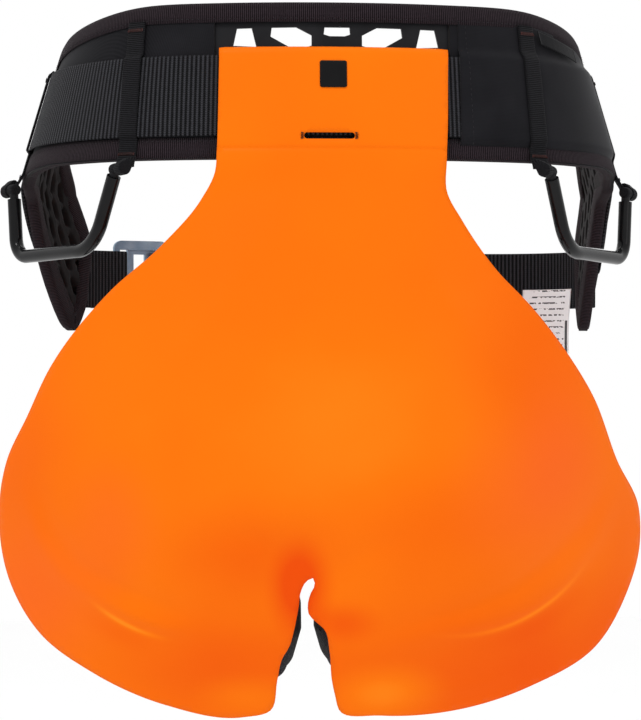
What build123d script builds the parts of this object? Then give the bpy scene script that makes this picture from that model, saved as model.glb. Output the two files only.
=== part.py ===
"""A climbing sit harness with a wrap-round seat protector, every piece a closed solid of its own.

Millimetres. +Z runs up the wearer's spine, +Y to the wearer's front and +X to the wearer's right. The
origin is the centre of the waist ring, level with the middle of the belt at the small of the back. Soft
pieces are layers taken from two body forms, the hips and the thighs, so that neighbours follow each other
without touching.
"""

import os
from functools import lru_cache
from math import cos, radians, sin

from build123d import *

# ---------------------------------------------------------------- driving dimensions
GAP = 0.3  # free space between neighbouring layers
FAR = 400.0  # beyond every surface, for the open sides of cutting prisms

# Hips: height, half width and half depth of the belt's inner face at each level
HIP_LEVELS = ((75, 163, 131), (-60, 203, 147), (-200, 200, 150))
END_ROUND = 1.95  # radius at the back and front, as a share of the half width
SIDE_ROUND = 1.55  # radius at the side, as a share of the half depth
CORNER_ROUND = 0.85  # radius between the two, as a share of the half depth
SQUARE_CORNER = 0.42  # the front right quarter stands squarer, because no buckle draws it in

# Layers measured out from the belt's inner face
PAD_OUT = 5.0
FACE_IN, FACE_OUT = 5.1, 6.3
FRAME_IN, FRAME_OUT = 1.5, 4.5
FRAME_MIDDLE = 1.0  # its windows are laid out to both sides of this line
SLEEVE_IN, SLEEVE_OUT, SLEEVE_SHEET = 4.8, 12.0, 1.5
WEB_IN, WEB_OUT = 7.8, 10.2
COVER_IN, COVER_OUT = 10.5, 11.6
STRAP_IN, STRAP_OUT = 10.5, 12.7
HAIRPIN_IN, HAIRPIN_OUT = 19.4, 21.4
BINDING_WRAP, BINDING_HEIGHT = 1.2, 13.0
KEEPER_THICKNESS = 1.6

# Belt in side view, as corners with the radius each is rounded to
BELT_HALF_HEIGHT = 50.5
BELT_CORNERS = (
    ((-105, 50.5), 60),
    ((-35, 36), 60),
    ((22, 16), 60),
    ((86, -55), 22),
    ((101, -92), 40),
    ((96, -142), 20),
    ((85, -165), 8),
    ((22, -68), 40),
    ((-20, -55), 60),
    ((-70, -50.5), 60),
)
BACK_EDGES = {-1: -79.0, 1: 76.0}  # the perforated back frame lies between the two hip pads

# Webbing
WEB_WIDTH = 50.0
WEB_CORNERS = ((5, -9.5), (60, -74), (96, -112))
STRAP_Z, STRAP_WIDTH = -121.0, 44.0
STRAP_FROM_Y = 82.0

# Seat protector
NECK_LEFT, NECK_RIGHT, NECK_TOP = -78.0, 72.0, 19.0
POCKET_TOP, POCKET_BOTTOM = 15.8, -34.8
SEAT_HINGE_Y, SEAT_HINGE_Z = -159.4, -60.0
SEAT_LEVELS = (  # height, depth at the middle, how far the sheet comes forward at the reach
    (-60.8, -157.8, 70),
    (-120, -168, 81),
    (-180, -177, 89),
    (-240, -180, 92),
    (-310, -170, 88),
    (-360, -156, 80),
    (-425, -130, 70),
)
SEAT_REACH = 200.0
SEAT_SHEET = 2.0
SEAT_RIGHT = (
    (72, -72), (82, -91), (103, -121), (131, -149), (155, -178), (174, -206), (194, -250), (213, -282),
    (215, -307), (203, -344), (182, -375), (134, -400), (82, -414), (30, -416), (3, -412), (0, -402),
    (-2.5, -391), (-4.5, -371), (-8, -357), (-14, -351.5), (-18.2, -347), (-19, -340), (-17.3, -333),
    (-14.6, -327), (-16, -322.8),
)
SEAT_LEFT = (
    (-20, -324.6), (-23.2, -330), (-25.2, -343), (-27.5, -356), (-31, -369), (-35, -376), (-38, -391),
    (-42, -412), (-60, -417), (-110, -410), (-159, -390), (-194, -366),
    (-216, -330), (-223, -290), (-217, -249), (-203, -220), (-187, -187), (-148, -138), (-113, -107),
    (-88, -78), (-79, -60.8),
)

# Thighs: the legs hang a little to the wearer's left of the belt's middle
CROTCH_X = -10.0
THIGH_Y = -12.0
THIGH_LEVELS = (  # height, centre out from the crotch, half width, half depth
    (-190, 101, 87, 103),
    (-300, 98, 83, 100),
    (-370, 90, 76, 98),
    (-460, 88, 48, 80),
)
LEG_CORNERS = ((-60, -388), (50, -356))
LEG_REAR_Z, LEG_FRONT_Z = -386.0, -298.0
LEG_HEIGHT = 54.0
LEG_RISE = 22.0  # degrees that the leg band climbs towards the outer thigh
LEG_PAD_OUT = 6.0
LEG_WEB_IN, LEG_WEB_OUT, LEG_WEB_HEIGHT = 7.6, 9.4, 36.0

# Attachment at the front
TIE_Y, TIE_Z, TIE_HEIGHT, TIE_HALF_WIDTH = 182.0, -122.0, 24.0, 22.0
TIE_THICKNESS = 4.0
BRIDGE_Y, BRIDGE_Z, BRIDGE_RADIUS, BRIDGE_HALF_LENGTH = 166.0, -242.0, 3.3, 36.0
BELAY_WIDTH, BELAY_THICKNESS, BELAY_HALF_GAP = 18.0, 4.5, 11.0
BELAY_PLAY = 1.8  # room for the loop to turn on the handle and the bridge
EYE_START, EYE_WIDTH, EYE_IN, EYE_OUT = 17.5, 16.0, 3.6, 6.4

# Gear loops: plan angle on the hips and height of both eyes
LOOP_EYES = ((224.5, -57.0), (184.0, -64.0))
LOOP_DEPTH = 50.0
LOOP_BENDS = (3.8, 34, 14, 3.8)
LOOP_TUBE, LOOP_TUBE_BORE, LOOP_CORE = 4.7, 3.3, 3.0
LOOP_EYE, LOOP_EYE_BORE, LOOP_EYE_LENGTH = 5.4, 3.3, 5.0
LOOP_INSET = 6.5  # from the middle of an eye to the bend beside it
LOOP_PIN = 10.5
TAB_WIDTH = 14.0
TAB_OUT = 12.2
KEEPER_TOP = 27

# Buckles: a fixed frame sewn into the straps and a loose plate that pinches the tail
WAIST_BUCKLE_ANGLE = 22.0  # round from the front towards the left
BUCKLE_LENGTH, BUCKLE_HEIGHT, BUCKLE_PLATE, BUCKLE_RAIL = 44.0, 60.0, 3.2, 4.5
LEG_BUCKLE_LENGTH, LEG_BUCKLE_HEIGHT, LEG_BUCKLE_RAIL = 36.0, 46.0, 4.0
LEG_BUCKLE_Z = -292.0


# ---------------------------------------------------------------- body forms
def hip_arcs(half_width, half_depth, grow):
    """Centres and radii of the three arcs in a quarter of the hips, and where they join."""
    end, side, corner = END_ROUND * half_width, SIDE_ROUND * half_depth, CORNER_ROUND * half_depth
    end_at = Vector(0, half_depth - end)
    side_at = Vector(half_width - side, 0)
    span = side_at - end_at
    along = ((end - corner) ** 2 - (side - corner) ** 2 + span.length**2) / (2 * span.length)
    across = ((end - corner) ** 2 - along**2) ** 0.5
    ahead = span.normalized()
    corner_at = end_at + ahead * along + Vector(ahead.Y, -ahead.X) * across
    end_join = corner_at + (corner_at - end_at).normalized() * (corner + grow)
    side_join = corner_at + (corner_at - side_at).normalized() * (corner + grow)
    arcs = (end_at, end + grow), (corner_at, corner + grow), (side_at, side + grow)
    return *arcs, end_join, side_join


def between(centre, radius, start, stop):
    """The point of an arc halfway between two of its points."""
    return centre + ((start + stop) / 2 - centre).normalized() * radius


def hip_outline(half_width, half_depth, grow):
    """The hips in plan: rounded alike at three quarters, with the front right one drawn squarer."""
    end, corner, side, end_join, side_join = hip_arcs(half_width, half_depth, grow)
    a, b = half_width + grow, half_depth + grow
    square = SQUARE_CORNER * half_depth + grow
    corner_mid = between(*corner, end_join, side_join)
    side_mid = between(*side, side_join, Vector(a, 0))
    end_mid = between(*end, end_join, Vector(0, b))
    ex, ey = end_join.X, end_join.Y
    sx, sy = side_join.X, side_join.Y
    cx, cy = corner_mid.X, corner_mid.Y
    with BuildLine() as outline:
        ThreePointArc((-ex, -ey), (0, -b), (ex, -ey))
        ThreePointArc((ex, -ey), (cx, -cy), (sx, -sy))
        ThreePointArc((sx, -sy), (side_mid.X, -side_mid.Y), (a, 0))
        Line((a, 0), (a, b - square))
        RadiusArc((a, b - square), (a - square, b), -square)
        Line((a - square, b), (0, b))
        ThreePointArc((0, b), (-end_mid.X, end_mid.Y), (-ex, ey))
        ThreePointArc((-ex, ey), (-cx, cy), (-sx, sy))
        ThreePointArc((-sx, sy), (-a, 0), (-sx, -sy))
        ThreePointArc((-sx, -sy), (-cx, -cy), (-ex, -ey))
    return outline.line


def hip_size(z):
    """Half width and half depth of the hips at a height, between the levels."""
    for (z0, a0, b0), (z1, a1, b1) in zip(HIP_LEVELS, HIP_LEVELS[1:]):
        if z1 <= z <= z0:
            share = (z0 - z) / (z0 - z1)
            return a0 + share * (a1 - a0), b0 + share * (b1 - b0)
    raise ValueError(f"no hips at height {z}")


def hip_point(angle, z, grow):
    """Where a ray at an angle from +X meets the grown hips, away from the squarer corner."""
    end, corner, side, end_join, side_join = hip_arcs(*hip_size(z), grow)
    ray = Vector(abs(cos(radians(angle))), abs(sin(radians(angle))))
    if ray.Y * end_join.X > ray.X * end_join.Y:
        centre, radius = end
    elif ray.Y * side_join.X > ray.X * side_join.Y:
        centre, radius = corner
    else:
        centre, radius = side
    along = centre.dot(ray)
    reach = along + (radius**2 - centre.length**2 + along**2) ** 0.5
    return Vector(reach * cos(radians(angle)), reach * sin(radians(angle)), z)


@lru_cache(maxsize=None)
def hips(grow):
    """The hips as one solid, grown outwards."""
    with BuildPart() as body:
        for z, half_width, half_depth in HIP_LEVELS:
            with BuildSketch(Plane.XY.offset(z)):
                add(hip_outline(half_width, half_depth, grow))
                make_face()
        loft(ruled=True)
    return body.part


@lru_cache(maxsize=None)
def thigh(side, grow):
    """One thigh as a solid, grown outwards; side is -1 for the left and 1 for the right."""
    with BuildPart() as body:
        for z, out, half_width, half_depth in THIGH_LEVELS:
            with BuildSketch(Plane.XY.offset(z)):
                with Locations((CROTCH_X + side * out, THIGH_Y)):
                    Ellipse(half_width + grow, half_depth + grow)
        loft(ruled=True)
    return body.part


def hip_layer(inner, outer):
    with BuildPart() as layer:
        add(hips(outer))
        add(hips(inner), mode=Mode.SUBTRACT)
    return layer.part


def thigh_layer(side, inner, outer):
    with BuildPart() as layer:
        add(thigh(side, outer))
        add(thigh(side, inner), mode=Mode.SUBTRACT)
    return layer.part


# ---------------------------------------------------------------- cutting prisms
def side_prism(profile, x_from, x_to):
    """A (Y, Z) profile carried along X."""
    with BuildPart() as prism:
        with BuildSketch(Plane.YZ.offset(x_from)):
            add(profile)
        extrude(amount=x_to - x_from)
    return prism.part


def leg_prism(profile, side):
    """A (Y, Z) profile carried outwards across one thigh, climbing as it goes."""
    with BuildPart() as prism:
        with BuildSketch(Plane.YZ.offset(CROTCH_X)):
            add(profile)
        extrude(amount=260, dir=(side * cos(radians(LEG_RISE)), 0, sin(radians(LEG_RISE))))
    return prism.part


def block(x_from, x_to, y_from, y_to, z_from, z_to):
    with BuildPart() as box:
        with BuildSketch(Plane.XY.offset(z_from)):
            with Locations(((x_from + x_to) / 2, (y_from + y_to) / 2)):
                Rectangle(x_to - x_from, y_to - y_from)
        extrude(amount=z_to - z_from)
    return box.part


def local_block(plane, u_from, u_to, v_from, v_to, w_from, w_to):
    """A block given in a plane's own directions."""
    with BuildPart() as box:
        with BuildSketch(plane.offset(w_from)):
            with Locations(((u_from + u_to) / 2, (v_from + v_to) / 2)):
                Rectangle(u_to - u_from, v_to - v_from)
        extrude(amount=w_to - w_from)
    return box.part


def belt_profile(inset=0.0):
    """The padded belt in side view, open-ended behind the back."""
    corners = [point for point, _ in BELT_CORNERS]
    rounds = [radius for _, radius in BELT_CORNERS]
    with BuildSketch() as profile:
        with BuildLine():
            FilletPolyline(
                (-FAR, BELT_HALF_HEIGHT),
                *corners,
                (-FAR, -BELT_HALF_HEIGHT),
                radius=[0, *rounds, 0],
                close=True,
            )
        make_face()
        if inset:
            offset(amount=-inset, kind=Kind.INTERSECTION)
    return profile.sketch


def band_profile(corners, radius, width):
    """A band of even width about a rounded centre line in side view."""
    with BuildSketch() as profile:
        with BuildLine() as centre:
            FilletPolyline(*corners, radius=radius)
        trace(centre.line, line_width=width)
    return profile.sketch


def web_profile(width):
    return band_profile(((-FAR, -9.5), *WEB_CORNERS), (80, 60), width)


def leg_profile(height):
    corners = ((-170, LEG_REAR_Z), *LEG_CORNERS, (150, LEG_FRONT_Z))
    return band_profile(corners, (90, 90), height)


def hip_cut(inner, outer, region):
    """A layer over the hips, kept inside a region."""
    with BuildPart() as piece:
        add(hip_layer(inner, outer))
        add(region, mode=Mode.INTERSECT)
    return piece.part


def thigh_cut(side, inner, outer, region):
    with BuildPart() as piece:
        add(thigh_layer(side, inner, outer))
        add(region, mode=Mode.INTERSECT)
    return piece.part


def finish(builder, label):
    """Names a finished piece and writes it."""
    builder.part.label = label
    export_step(builder.part, f"parts/{label}.step")


SIDES = ((-1, "left"), (1, "right"))


# ---------------------------------------------------------------- padded belt
def hip_pads():
    """Foam pads over each hip, with drainage slots through their front wings."""
    for side, name in SIDES:
        x_from, x_to = sorted((BACK_EDGES[side], side * FAR))
        with BuildPart() as pad:
            add(hip_cut(0, PAD_OUT, side_prism(belt_profile(), x_from, x_to)))
            with BuildSketch(Plane.YZ.offset(x_from)):
                for row in range(4):
                    for column in range(2):
                        with Locations((42 + 9 * row + 13 * column, -52 - 20 * row + 10 * column)):
                            SlotOverall(12, 4.5, rotation=118)
            extrude(amount=x_to - x_from, mode=Mode.SUBTRACT)
        finish(pad, f"{name}_hip_pad")


def face_panels():
    """Fabric panels over the outside of the pads."""
    for side, name in SIDES:
        x_from, x_to = sorted((BACK_EDGES[side], side * FAR))
        with BuildPart() as panel:
            add(hip_cut(FACE_IN, FACE_OUT, side_prism(belt_profile(), x_from, x_to)))
        finish(panel, f"{name}_face_panel")


def back_frame():
    """Moulded back frame, opened out by many-sided windows above, behind and below the webbing."""
    windows = (
        ((16.5, 23.5), (16.5, 30.5), (26.5, 35.8), (42.5, 35.6), (43.3, 29.5), (32, 23), (23.5, 21.8)),
        ((52.5, 22.8), (55.5, 35.4), (65, 35.2), (67.5, 23.6)),
        ((20, 10), (44, 10), (52, -6), (24, -10)),
        ((26, -18), (60, -14), (54, -32), (20, -32)),
    )
    handhold = ((-8.6, 31), (-8, 35.8), (8.4, 35.8), (8.8, 31), (5.2, 29.8), (-4.8, 29.8))
    with BuildPart() as frame:
        add(
            hip_cut(
                FRAME_IN, FRAME_OUT, side_prism(belt_profile(), BACK_EDGES[-1] + GAP, BACK_EDGES[1] - GAP)
            )
        )
        with BuildSketch(Plane.XZ.offset(100)):
            for side, _ in SIDES:
                for window in windows:
                    with BuildLine():
                        Polyline(*[(FRAME_MIDDLE + side * x, z) for x, z in window], close=True)
                    make_face()
            with BuildLine():
                Polyline(*[(FRAME_MIDDLE + x, z) for x, z in handhold], close=True)
            make_face()
        extrude(amount=100, mode=Mode.SUBTRACT)
    finish(frame, "back_frame")


def belt_binding():
    """One grosgrain tape folded round the whole edge of the belt."""
    wrap = BINDING_WRAP
    with BuildPart() as binding:
        add(hip_cut(-wrap, FACE_OUT + wrap, side_prism(belt_profile(-wrap), -FAR, FAR)))
        add(side_prism(belt_profile(BINDING_HEIGHT), -FAR, FAR), mode=Mode.SUBTRACT)
        add(hip_cut(-0.1, FACE_OUT + 0.1, side_prism(belt_profile(-0.1), -FAR, FAR)), mode=Mode.SUBTRACT)
    finish(binding, "belt_binding")


# ---------------------------------------------------------------- webbing and what lies on it
def waist_webbing():
    """Load-bearing webbing round the back and both hips."""
    with BuildPart() as webbing:
        add(hip_cut(WEB_IN, WEB_OUT, side_prism(web_profile(WEB_WIDTH), -FAR, FAR)))
    finish(webbing, "waist_webbing")


def right_webbing_cover():
    """Smooth fabric panel over the webbing on the right hip."""
    with BuildPart() as cover:
        add(hip_cut(COVER_IN, COVER_OUT, side_prism(web_profile(WEB_WIDTH + 6), 80, FAR)))
        add(block(80, FAR, 50, FAR, -200, 100), mode=Mode.SUBTRACT)
    finish(cover, "right_webbing_cover")


def tangent_plane(angle, z, grow):
    """A plane lying on the back half of the hips: x along the belt, y up and z outwards."""
    here = hip_point(angle, z, grow)
    ahead = hip_point(angle + 0.5, z, grow)
    behind = hip_point(angle - 0.5, z, grow)
    along = (ahead - behind).normalized()
    return Plane(here, x_dir=along, z_dir=along.cross(Vector(0, 0, 1)))


def loop_plane(side):
    """The gear loop's own plane at rest: origin at the rear bend, x towards the front one, y up."""
    rear, front = (hip_point(angle, z, TAB_OUT + LOOP_EYE - 1) for angle, z in LOOP_EYES)
    if side > 0:
        rear, front = Vector(-rear.X, rear.Y, rear.Z), Vector(-front.X, front.Y, front.Z)
    along = (front - rear).normalized()
    return Plane(rear + along * LOOP_INSET, x_dir=along, z_dir=along.cross(Vector(0, 0, 1)))


def loop_span():
    rear, front = (hip_point(angle, z, TAB_OUT + LOOP_EYE - 1) for angle, z in LOOP_EYES)
    return (front - rear).length - 2 * LOOP_INSET


def keepers():
    """Vertical keeper straps over the webbing, each ending in the eye that carries a gear loop."""
    ends = (("rear", -LOOP_INSET, KEEPER_TOP), ("front", loop_span() + LOOP_INSET, -2))
    for side, name in SIDES:
        base = COVER_OUT + GAP if side > 0 else WEB_OUT + GAP
        axis = loop_plane(side)
        for (angle, z), (end, eye, top) in zip(LOOP_EYES, ends):
            place = tangent_plane(angle if side < 0 else 540 - angle, z, 0)
            upright = local_block(place, -TAB_WIDTH / 2, TAB_WIDTH / 2, -0.5, top - z, -30, 60)
            start = axis.origin + axis.x_dir * (eye - LOOP_EYE_LENGTH / 2)
            with BuildPart() as keeper:
                add(hip_cut(base, base + KEEPER_THICKNESS, upright))
                with BuildSketch(Plane(start, z_dir=axis.x_dir)):
                    Circle(LOOP_EYE)
                extrude(amount=LOOP_EYE_LENGTH)
                with BuildSketch(Plane(start - axis.x_dir * 12, z_dir=axis.x_dir)):
                    Circle(LOOP_EYE_BORE)
                extrude(amount=LOOP_EYE_LENGTH + 24, mode=Mode.SUBTRACT)
            finish(keeper, f"keeper_{end}_{name}")


def labels():
    """A woven label over the webbing at the right and an instruction label inside the right wing."""
    place = tangent_plane(322, 6, 0)
    with BuildPart() as woven:
        add(hip_cut(FACE_OUT + 0.3, FACE_OUT + 1.1, local_block(place, -14, 14, 19, 28, -30, 60)))
    finish(woven, "woven_label")
    with BuildPart() as instructions:
        add(hip_cut(7.0, 8.0, block(0, FAR, 104, 142, -177, -128)))
    finish(instructions, "instruction_label")


# ---------------------------------------------------------------- waist buckle and front straps
def buckle_plane():
    """The waist buckle's plane: x to the front middle, y up and z outwards, on the belt's inner face."""
    corner_at, corner = hip_arcs(*hip_size(STRAP_Z), 0)[1]
    turn = radians(WAIST_BUCKLE_ANGLE)
    centre = Vector(-corner_at.X - corner * sin(turn), corner_at.Y + corner * cos(turn), STRAP_Z)
    return Plane(centre, x_dir=(cos(turn), sin(turn), 0), z_dir=(-sin(turn), cos(turn), 0))


def strap_slab(low=0.0):
    half = STRAP_WIDTH / 2 - low
    return block(-FAR, FAR, -FAR, FAR, STRAP_Z - half, STRAP_Z + half)


def hairpin(place, sign, start, tail, region):
    """A strap that comes in along the hips, turns round a bar and doubles back outside it."""
    half = STRAP_WIDTH / 2
    with BuildPart() as strap:
        add(hip_cut(STRAP_IN, STRAP_OUT, region))
        for inner, outer, stop in ((STRAP_OUT, HAIRPIN_OUT, start + 2), (HAIRPIN_IN, HAIRPIN_OUT, tail)):
            low, high = sorted((sign * start, sign * stop))
            lap = 0.2 if stop == start + 2 else 0
            window = local_block(place, low, high, -half, half, -20, 60)
            add(hip_cut(inner - lap, outer, window))
    return strap.part


def waist_buckle():
    """Fixed frame, loose slider plate and the two straps that meet in them."""
    place = buckle_plane()
    lift = STRAP_OUT + 1.0
    inside = BUCKLE_LENGTH / 2 - BUCKLE_RAIL
    tall = STRAP_WIDTH + 2.0
    with BuildPart() as frame:
        with BuildSketch(place.offset(lift)):
            RectangleRounded(BUCKLE_LENGTH, BUCKLE_HEIGHT, 6)
            Rectangle(2 * inside, tall, mode=Mode.SUBTRACT)
        extrude(amount=BUCKLE_PLATE)
    finish(frame, "waist_buckle_frame")
    with BuildPart() as slider:
        with BuildSketch(place.offset(HAIRPIN_OUT + 0.8)):
            with Locations((9, 0)):
                RectangleRounded(34, BUCKLE_HEIGHT - 2, 6)
                Rectangle(24, tall - 6, mode=Mode.SUBTRACT)
                Rectangle(5, BUCKLE_HEIGHT - 4)
        extrude(amount=BUCKLE_PLATE)
    finish(slider, "waist_buckle_slider")

    start = inside - GAP - 2.0
    with BuildPart() as left_region:
        add(strap_slab())
        add(block(-FAR, 0, STRAP_FROM_Y, FAR, -200, 0), mode=Mode.INTERSECT)
        add(local_block(place, -start, FAR, -60, 60, -60, 80), mode=Mode.SUBTRACT)
    with BuildPart() as left_strap:
        add(hairpin(place, -1, start, start + 24, left_region.part))
    finish(left_strap, "buckle_strap")
    with BuildPart() as right_region:
        add(strap_slab())
        add(block(-FAR, FAR, STRAP_FROM_Y, FAR, -200, 0), mode=Mode.INTERSECT)
        add(local_block(place, -FAR, start, -60, 60, -FAR, FAR), mode=Mode.SUBTRACT)
    with BuildPart() as front_strap:
        add(hairpin(place, 1, start, start + 56, right_region.part))
    finish(front_strap, "front_strap")

    with BuildPart() as tail_keeper:
        width = STRAP_WIDTH / 2
        add(hip_cut(8.4, 23.2, local_block(place, 52, 64, -width - 2, width + 2, -20, 80)))
        pocket = local_block(place, 50, 66, -width - 0.4, width + 0.4, -20, 80)
        add(hip_cut(10.1, 21.7, pocket), mode=Mode.SUBTRACT)
    finish(tail_keeper, "belt_tail_keeper")


def tie_in_loop():
    """Stiff webbing handle sewn to the front strap."""
    half_depth = hip_size(TIE_Z)[1]
    foot_y = half_depth + STRAP_OUT + GAP + TIE_THICKNESS / 2 + 0.3
    out = TIE_HALF_WIDTH
    corners = [(-out - 18, foot_y), (-out - 2, foot_y), (-out, TIE_Y), (out, TIE_Y), (out + 2, foot_y)]
    with BuildPart() as handle:
        with BuildSketch(Plane.XY.offset(TIE_Z - TIE_HEIGHT / 2)):
            with BuildLine() as centre:
                path = [(CROTCH_X + x, y) for x, y in (*corners, (out + 18, foot_y))]
                FilletPolyline(*path, radius=(4, 7, 7, 4))
            trace(centre.line, line_width=TIE_THICKNESS)
        extrude(amount=TIE_HEIGHT)
    finish(handle, "tie_in_loop")


def belay_loop():
    """Sewn ring of webbing joining the tie-in handle to the leg bridge, with a keeper round its legs."""
    bore = BELAY_HALF_GAP - BELAY_THICKNESS / 2
    top = Vector(CROTCH_X, TIE_Y, TIE_Z + TIE_HEIGHT / 2 + BELAY_PLAY - bore)
    low = Vector(CROTCH_X, BRIDGE_Y, BRIDGE_Z - BRIDGE_RADIUS - BELAY_PLAY + bore)
    along = top - low
    middle = (top + low) / 2
    face = Plane(middle, x_dir=along.normalized(), z_dir=(1, 0, 0))
    length = along.length + 2 * BELAY_HALF_GAP
    with BuildPart() as loop:
        with BuildSketch(face.offset(-BELAY_WIDTH / 2)):
            SlotOverall(length + BELAY_THICKNESS, 2 * BELAY_HALF_GAP + BELAY_THICKNESS)
            SlotOverall(length - BELAY_THICKNESS, 2 * BELAY_HALF_GAP - BELAY_THICKNESS, mode=Mode.SUBTRACT)
        extrude(amount=BELAY_WIDTH)
    finish(loop, "belay_loop")
    with BuildPart() as keeper:
        cross = Plane(middle - along.normalized() * 10, x_dir=(1, 0, 0), z_dir=along)
        with BuildSketch(cross):
            RectangleRounded(BELAY_WIDTH + 4, 2 * BELAY_HALF_GAP + BELAY_THICKNESS + 4, 3)
            Rectangle(
                BELAY_WIDTH + 0.6, 2 * BELAY_HALF_GAP + BELAY_THICKNESS + 0.6, mode=Mode.SUBTRACT
            )
        extrude(amount=16)
    finish(keeper, "belay_loop_keeper")


def leg_bridge():
    """Stiff rolled webbing that both leg loops hang from."""
    with BuildPart() as bridge:
        with BuildSketch(Plane.YZ.offset(CROTCH_X - BRIDGE_HALF_LENGTH)):
            with Locations((BRIDGE_Y, BRIDGE_Z)):
                Circle(BRIDGE_RADIUS)
        extrude(amount=2 * BRIDGE_HALF_LENGTH)
        for end in (-BRIDGE_HALF_LENGTH, BRIDGE_HALF_LENGTH - 1.5):
            with BuildSketch(Plane.YZ.offset(CROTCH_X + end)):
                with Locations((BRIDGE_Y, BRIDGE_Z)):
                    Circle(EYE_OUT)
            extrude(amount=1.5)
    finish(bridge, "leg_bridge")


# ---------------------------------------------------------------- gear loops
def gear_loops():
    """Each gear loop is a tube over a bent core whose ends turn in the keepers' eyes."""
    span = loop_span()
    deep = -LOOP_DEPTH
    bends = [(0, 0), (30, deep), (span - 2, deep + 3), (span, 0)]
    for side, name in SIDES:
        plane = loop_plane(side)
        with BuildPart() as core:
            with BuildLine(plane):
                FilletPolyline((-LOOP_PIN, 0), *bends, (span + LOOP_PIN, 0), radius=LOOP_BENDS)
            with BuildSketch(Plane(plane.origin - plane.x_dir * LOOP_PIN, z_dir=plane.x_dir)):
                Circle(LOOP_CORE)
            sweep()
        finish(core, f"gear_loop_core_{name}")
        first = (2.6, deep * 2.6 / 30)
        last = (span - 0.28, -6.5)
        with BuildPart() as tube:
            with BuildLine(plane) as line:
                FilletPolyline(first, *bends[1:3], last, radius=LOOP_BENDS[1:3])
            with BuildSketch(Plane(line.line @ 0, z_dir=line.line % 0)):
                Circle(LOOP_TUBE)
                Circle(LOOP_TUBE_BORE, mode=Mode.SUBTRACT)
            sweep()
        finish(tube, f"gear_loop_tube_{name}")


# ---------------------------------------------------------------- seat protector
def seat_layer(inner, outer, reach=235.0):
    """A sheet following the buttocks, between two offsets behind its own middle surface."""
    with BuildPart() as sheet:
        for z, middle, forward in SEAT_LEVELS:
            lift = forward * (reach / SEAT_REACH) ** 2
            with BuildSketch(Plane.XY.offset(z)):
                with BuildLine():
                    for depth in (inner, outer):
                        ThreePointArc(
                            (-reach, middle + lift - depth),
                            (0, middle - depth),
                            (reach, middle + lift - depth),
                        )
                    for x in (-reach, reach):
                        Line((x, middle + lift - inner), (x, middle + lift - outer))
                make_face()
        loft()
    return sheet.part


def seat_sleeve():
    """Neck of the seat protector: folded over the webbing and sewn down below it."""
    sheet = SLEEVE_SHEET
    with BuildPart() as sleeve:
        neck = block(NECK_LEFT, NECK_RIGHT, -FAR, 0, POCKET_BOTTOM - 2.2, NECK_TOP)
        add(hip_cut(SLEEVE_IN, SLEEVE_OUT, neck))
        pocket = block(NECK_LEFT, NECK_RIGHT, -FAR, 0, POCKET_BOTTOM, POCKET_TOP)
        add(hip_cut(SLEEVE_IN + sheet, SLEEVE_OUT - sheet, pocket), mode=Mode.SUBTRACT)
        tail = block(NECK_LEFT, NECK_RIGHT, -FAR, 0, SEAT_HINGE_Z, POCKET_BOTTOM)
        add(hip_cut(SLEEVE_OUT - sheet, SLEEVE_OUT, tail))
        with BuildSketch(Plane.XZ.offset(100)):
            with Locations((-4, POCKET_BOTTOM - 9)):
                SlotOverall(29, 4.5)
        extrude(amount=100, mode=Mode.SUBTRACT)
    finish(sleeve, "seat_sleeve")
    with BuildPart() as badge:
        square = block(-11, 6.6, -FAR, 0, -5, 12.6)
        add(hip_cut(SLEEVE_OUT + 0.1, SLEEVE_OUT + 1.2, square))
    finish(badge, "seat_badge")


def seat_panel():
    """The seat itself: two rounded lobes parted by a notch at the crotch."""
    with BuildPart() as seat:
        add(seat_layer(-SEAT_SHEET / 2, SEAT_SHEET / 2))
        with BuildSketch(Plane.XZ.offset(60)):
            with BuildLine():
                right = Spline((71, -60.8), *SEAT_RIGHT)
                left = Spline(right @ 1, *SEAT_LEFT)
                Line(left @ 1, right @ 0)
            make_face()
        extrude(amount=180, mode=Mode.INTERSECT)
    finish(seat, "seat_panel")
    for side, name in SIDES:
        with BuildPart() as grip:
            add(seat_layer(-SEAT_SHEET / 2 - 1.4, -SEAT_SHEET / 2 - 0.2))
            with BuildSketch(Plane.XZ.offset(60)):
                with Locations((CROTCH_X + side * 92, -374)):
                    RectangleRounded(70, 26, 4)
            extrude(amount=180, mode=Mode.INTERSECT)
        finish(grip, f"seat_grip_{name}")


# ---------------------------------------------------------------- leg loops
def leg_loops():
    """Padded leg loops, each bound along both edges, with its webbing, front strap and buckle."""
    wrap = BINDING_WRAP
    for side, name in SIDES:
        with BuildPart() as pad:
            add(thigh_cut(side, 0, LEG_PAD_OUT, leg_prism(leg_profile(LEG_HEIGHT), side)))
        finish(pad, f"leg_pad_{name}")

        with BuildPart() as binding:
            tall = leg_profile(LEG_HEIGHT + 2 * wrap)
            add(thigh_cut(side, -wrap, LEG_PAD_OUT + wrap, leg_prism(tall, side)))
            add(leg_prism(leg_profile(LEG_HEIGHT - 18), side), mode=Mode.SUBTRACT)
            filling = leg_prism(leg_profile(LEG_HEIGHT + 0.4), side)
            add(thigh_cut(side, -0.2, LEG_PAD_OUT + 0.2, filling), mode=Mode.SUBTRACT)
        finish(binding, f"leg_binding_{name}")

        with BuildPart() as webbing:
            band = leg_prism(leg_profile(LEG_WEB_HEIGHT), side)
            add(thigh_cut(side, LEG_WEB_IN, LEG_WEB_OUT, band))
        finish(webbing, f"leg_webbing_{name}")

        with BuildPart() as grip:
            x_from, x_to = sorted((CROTCH_X + side * 60, CROTCH_X + side * 120))
            patch = block(x_from, x_to, -FAR, THIGH_Y, -382, -356)
            add(thigh_cut(side, LEG_WEB_OUT + 0.1, LEG_WEB_OUT + 1.2, patch))
        finish(grip, f"leg_grip_{name}")
        leg_front(side, name)


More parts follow.
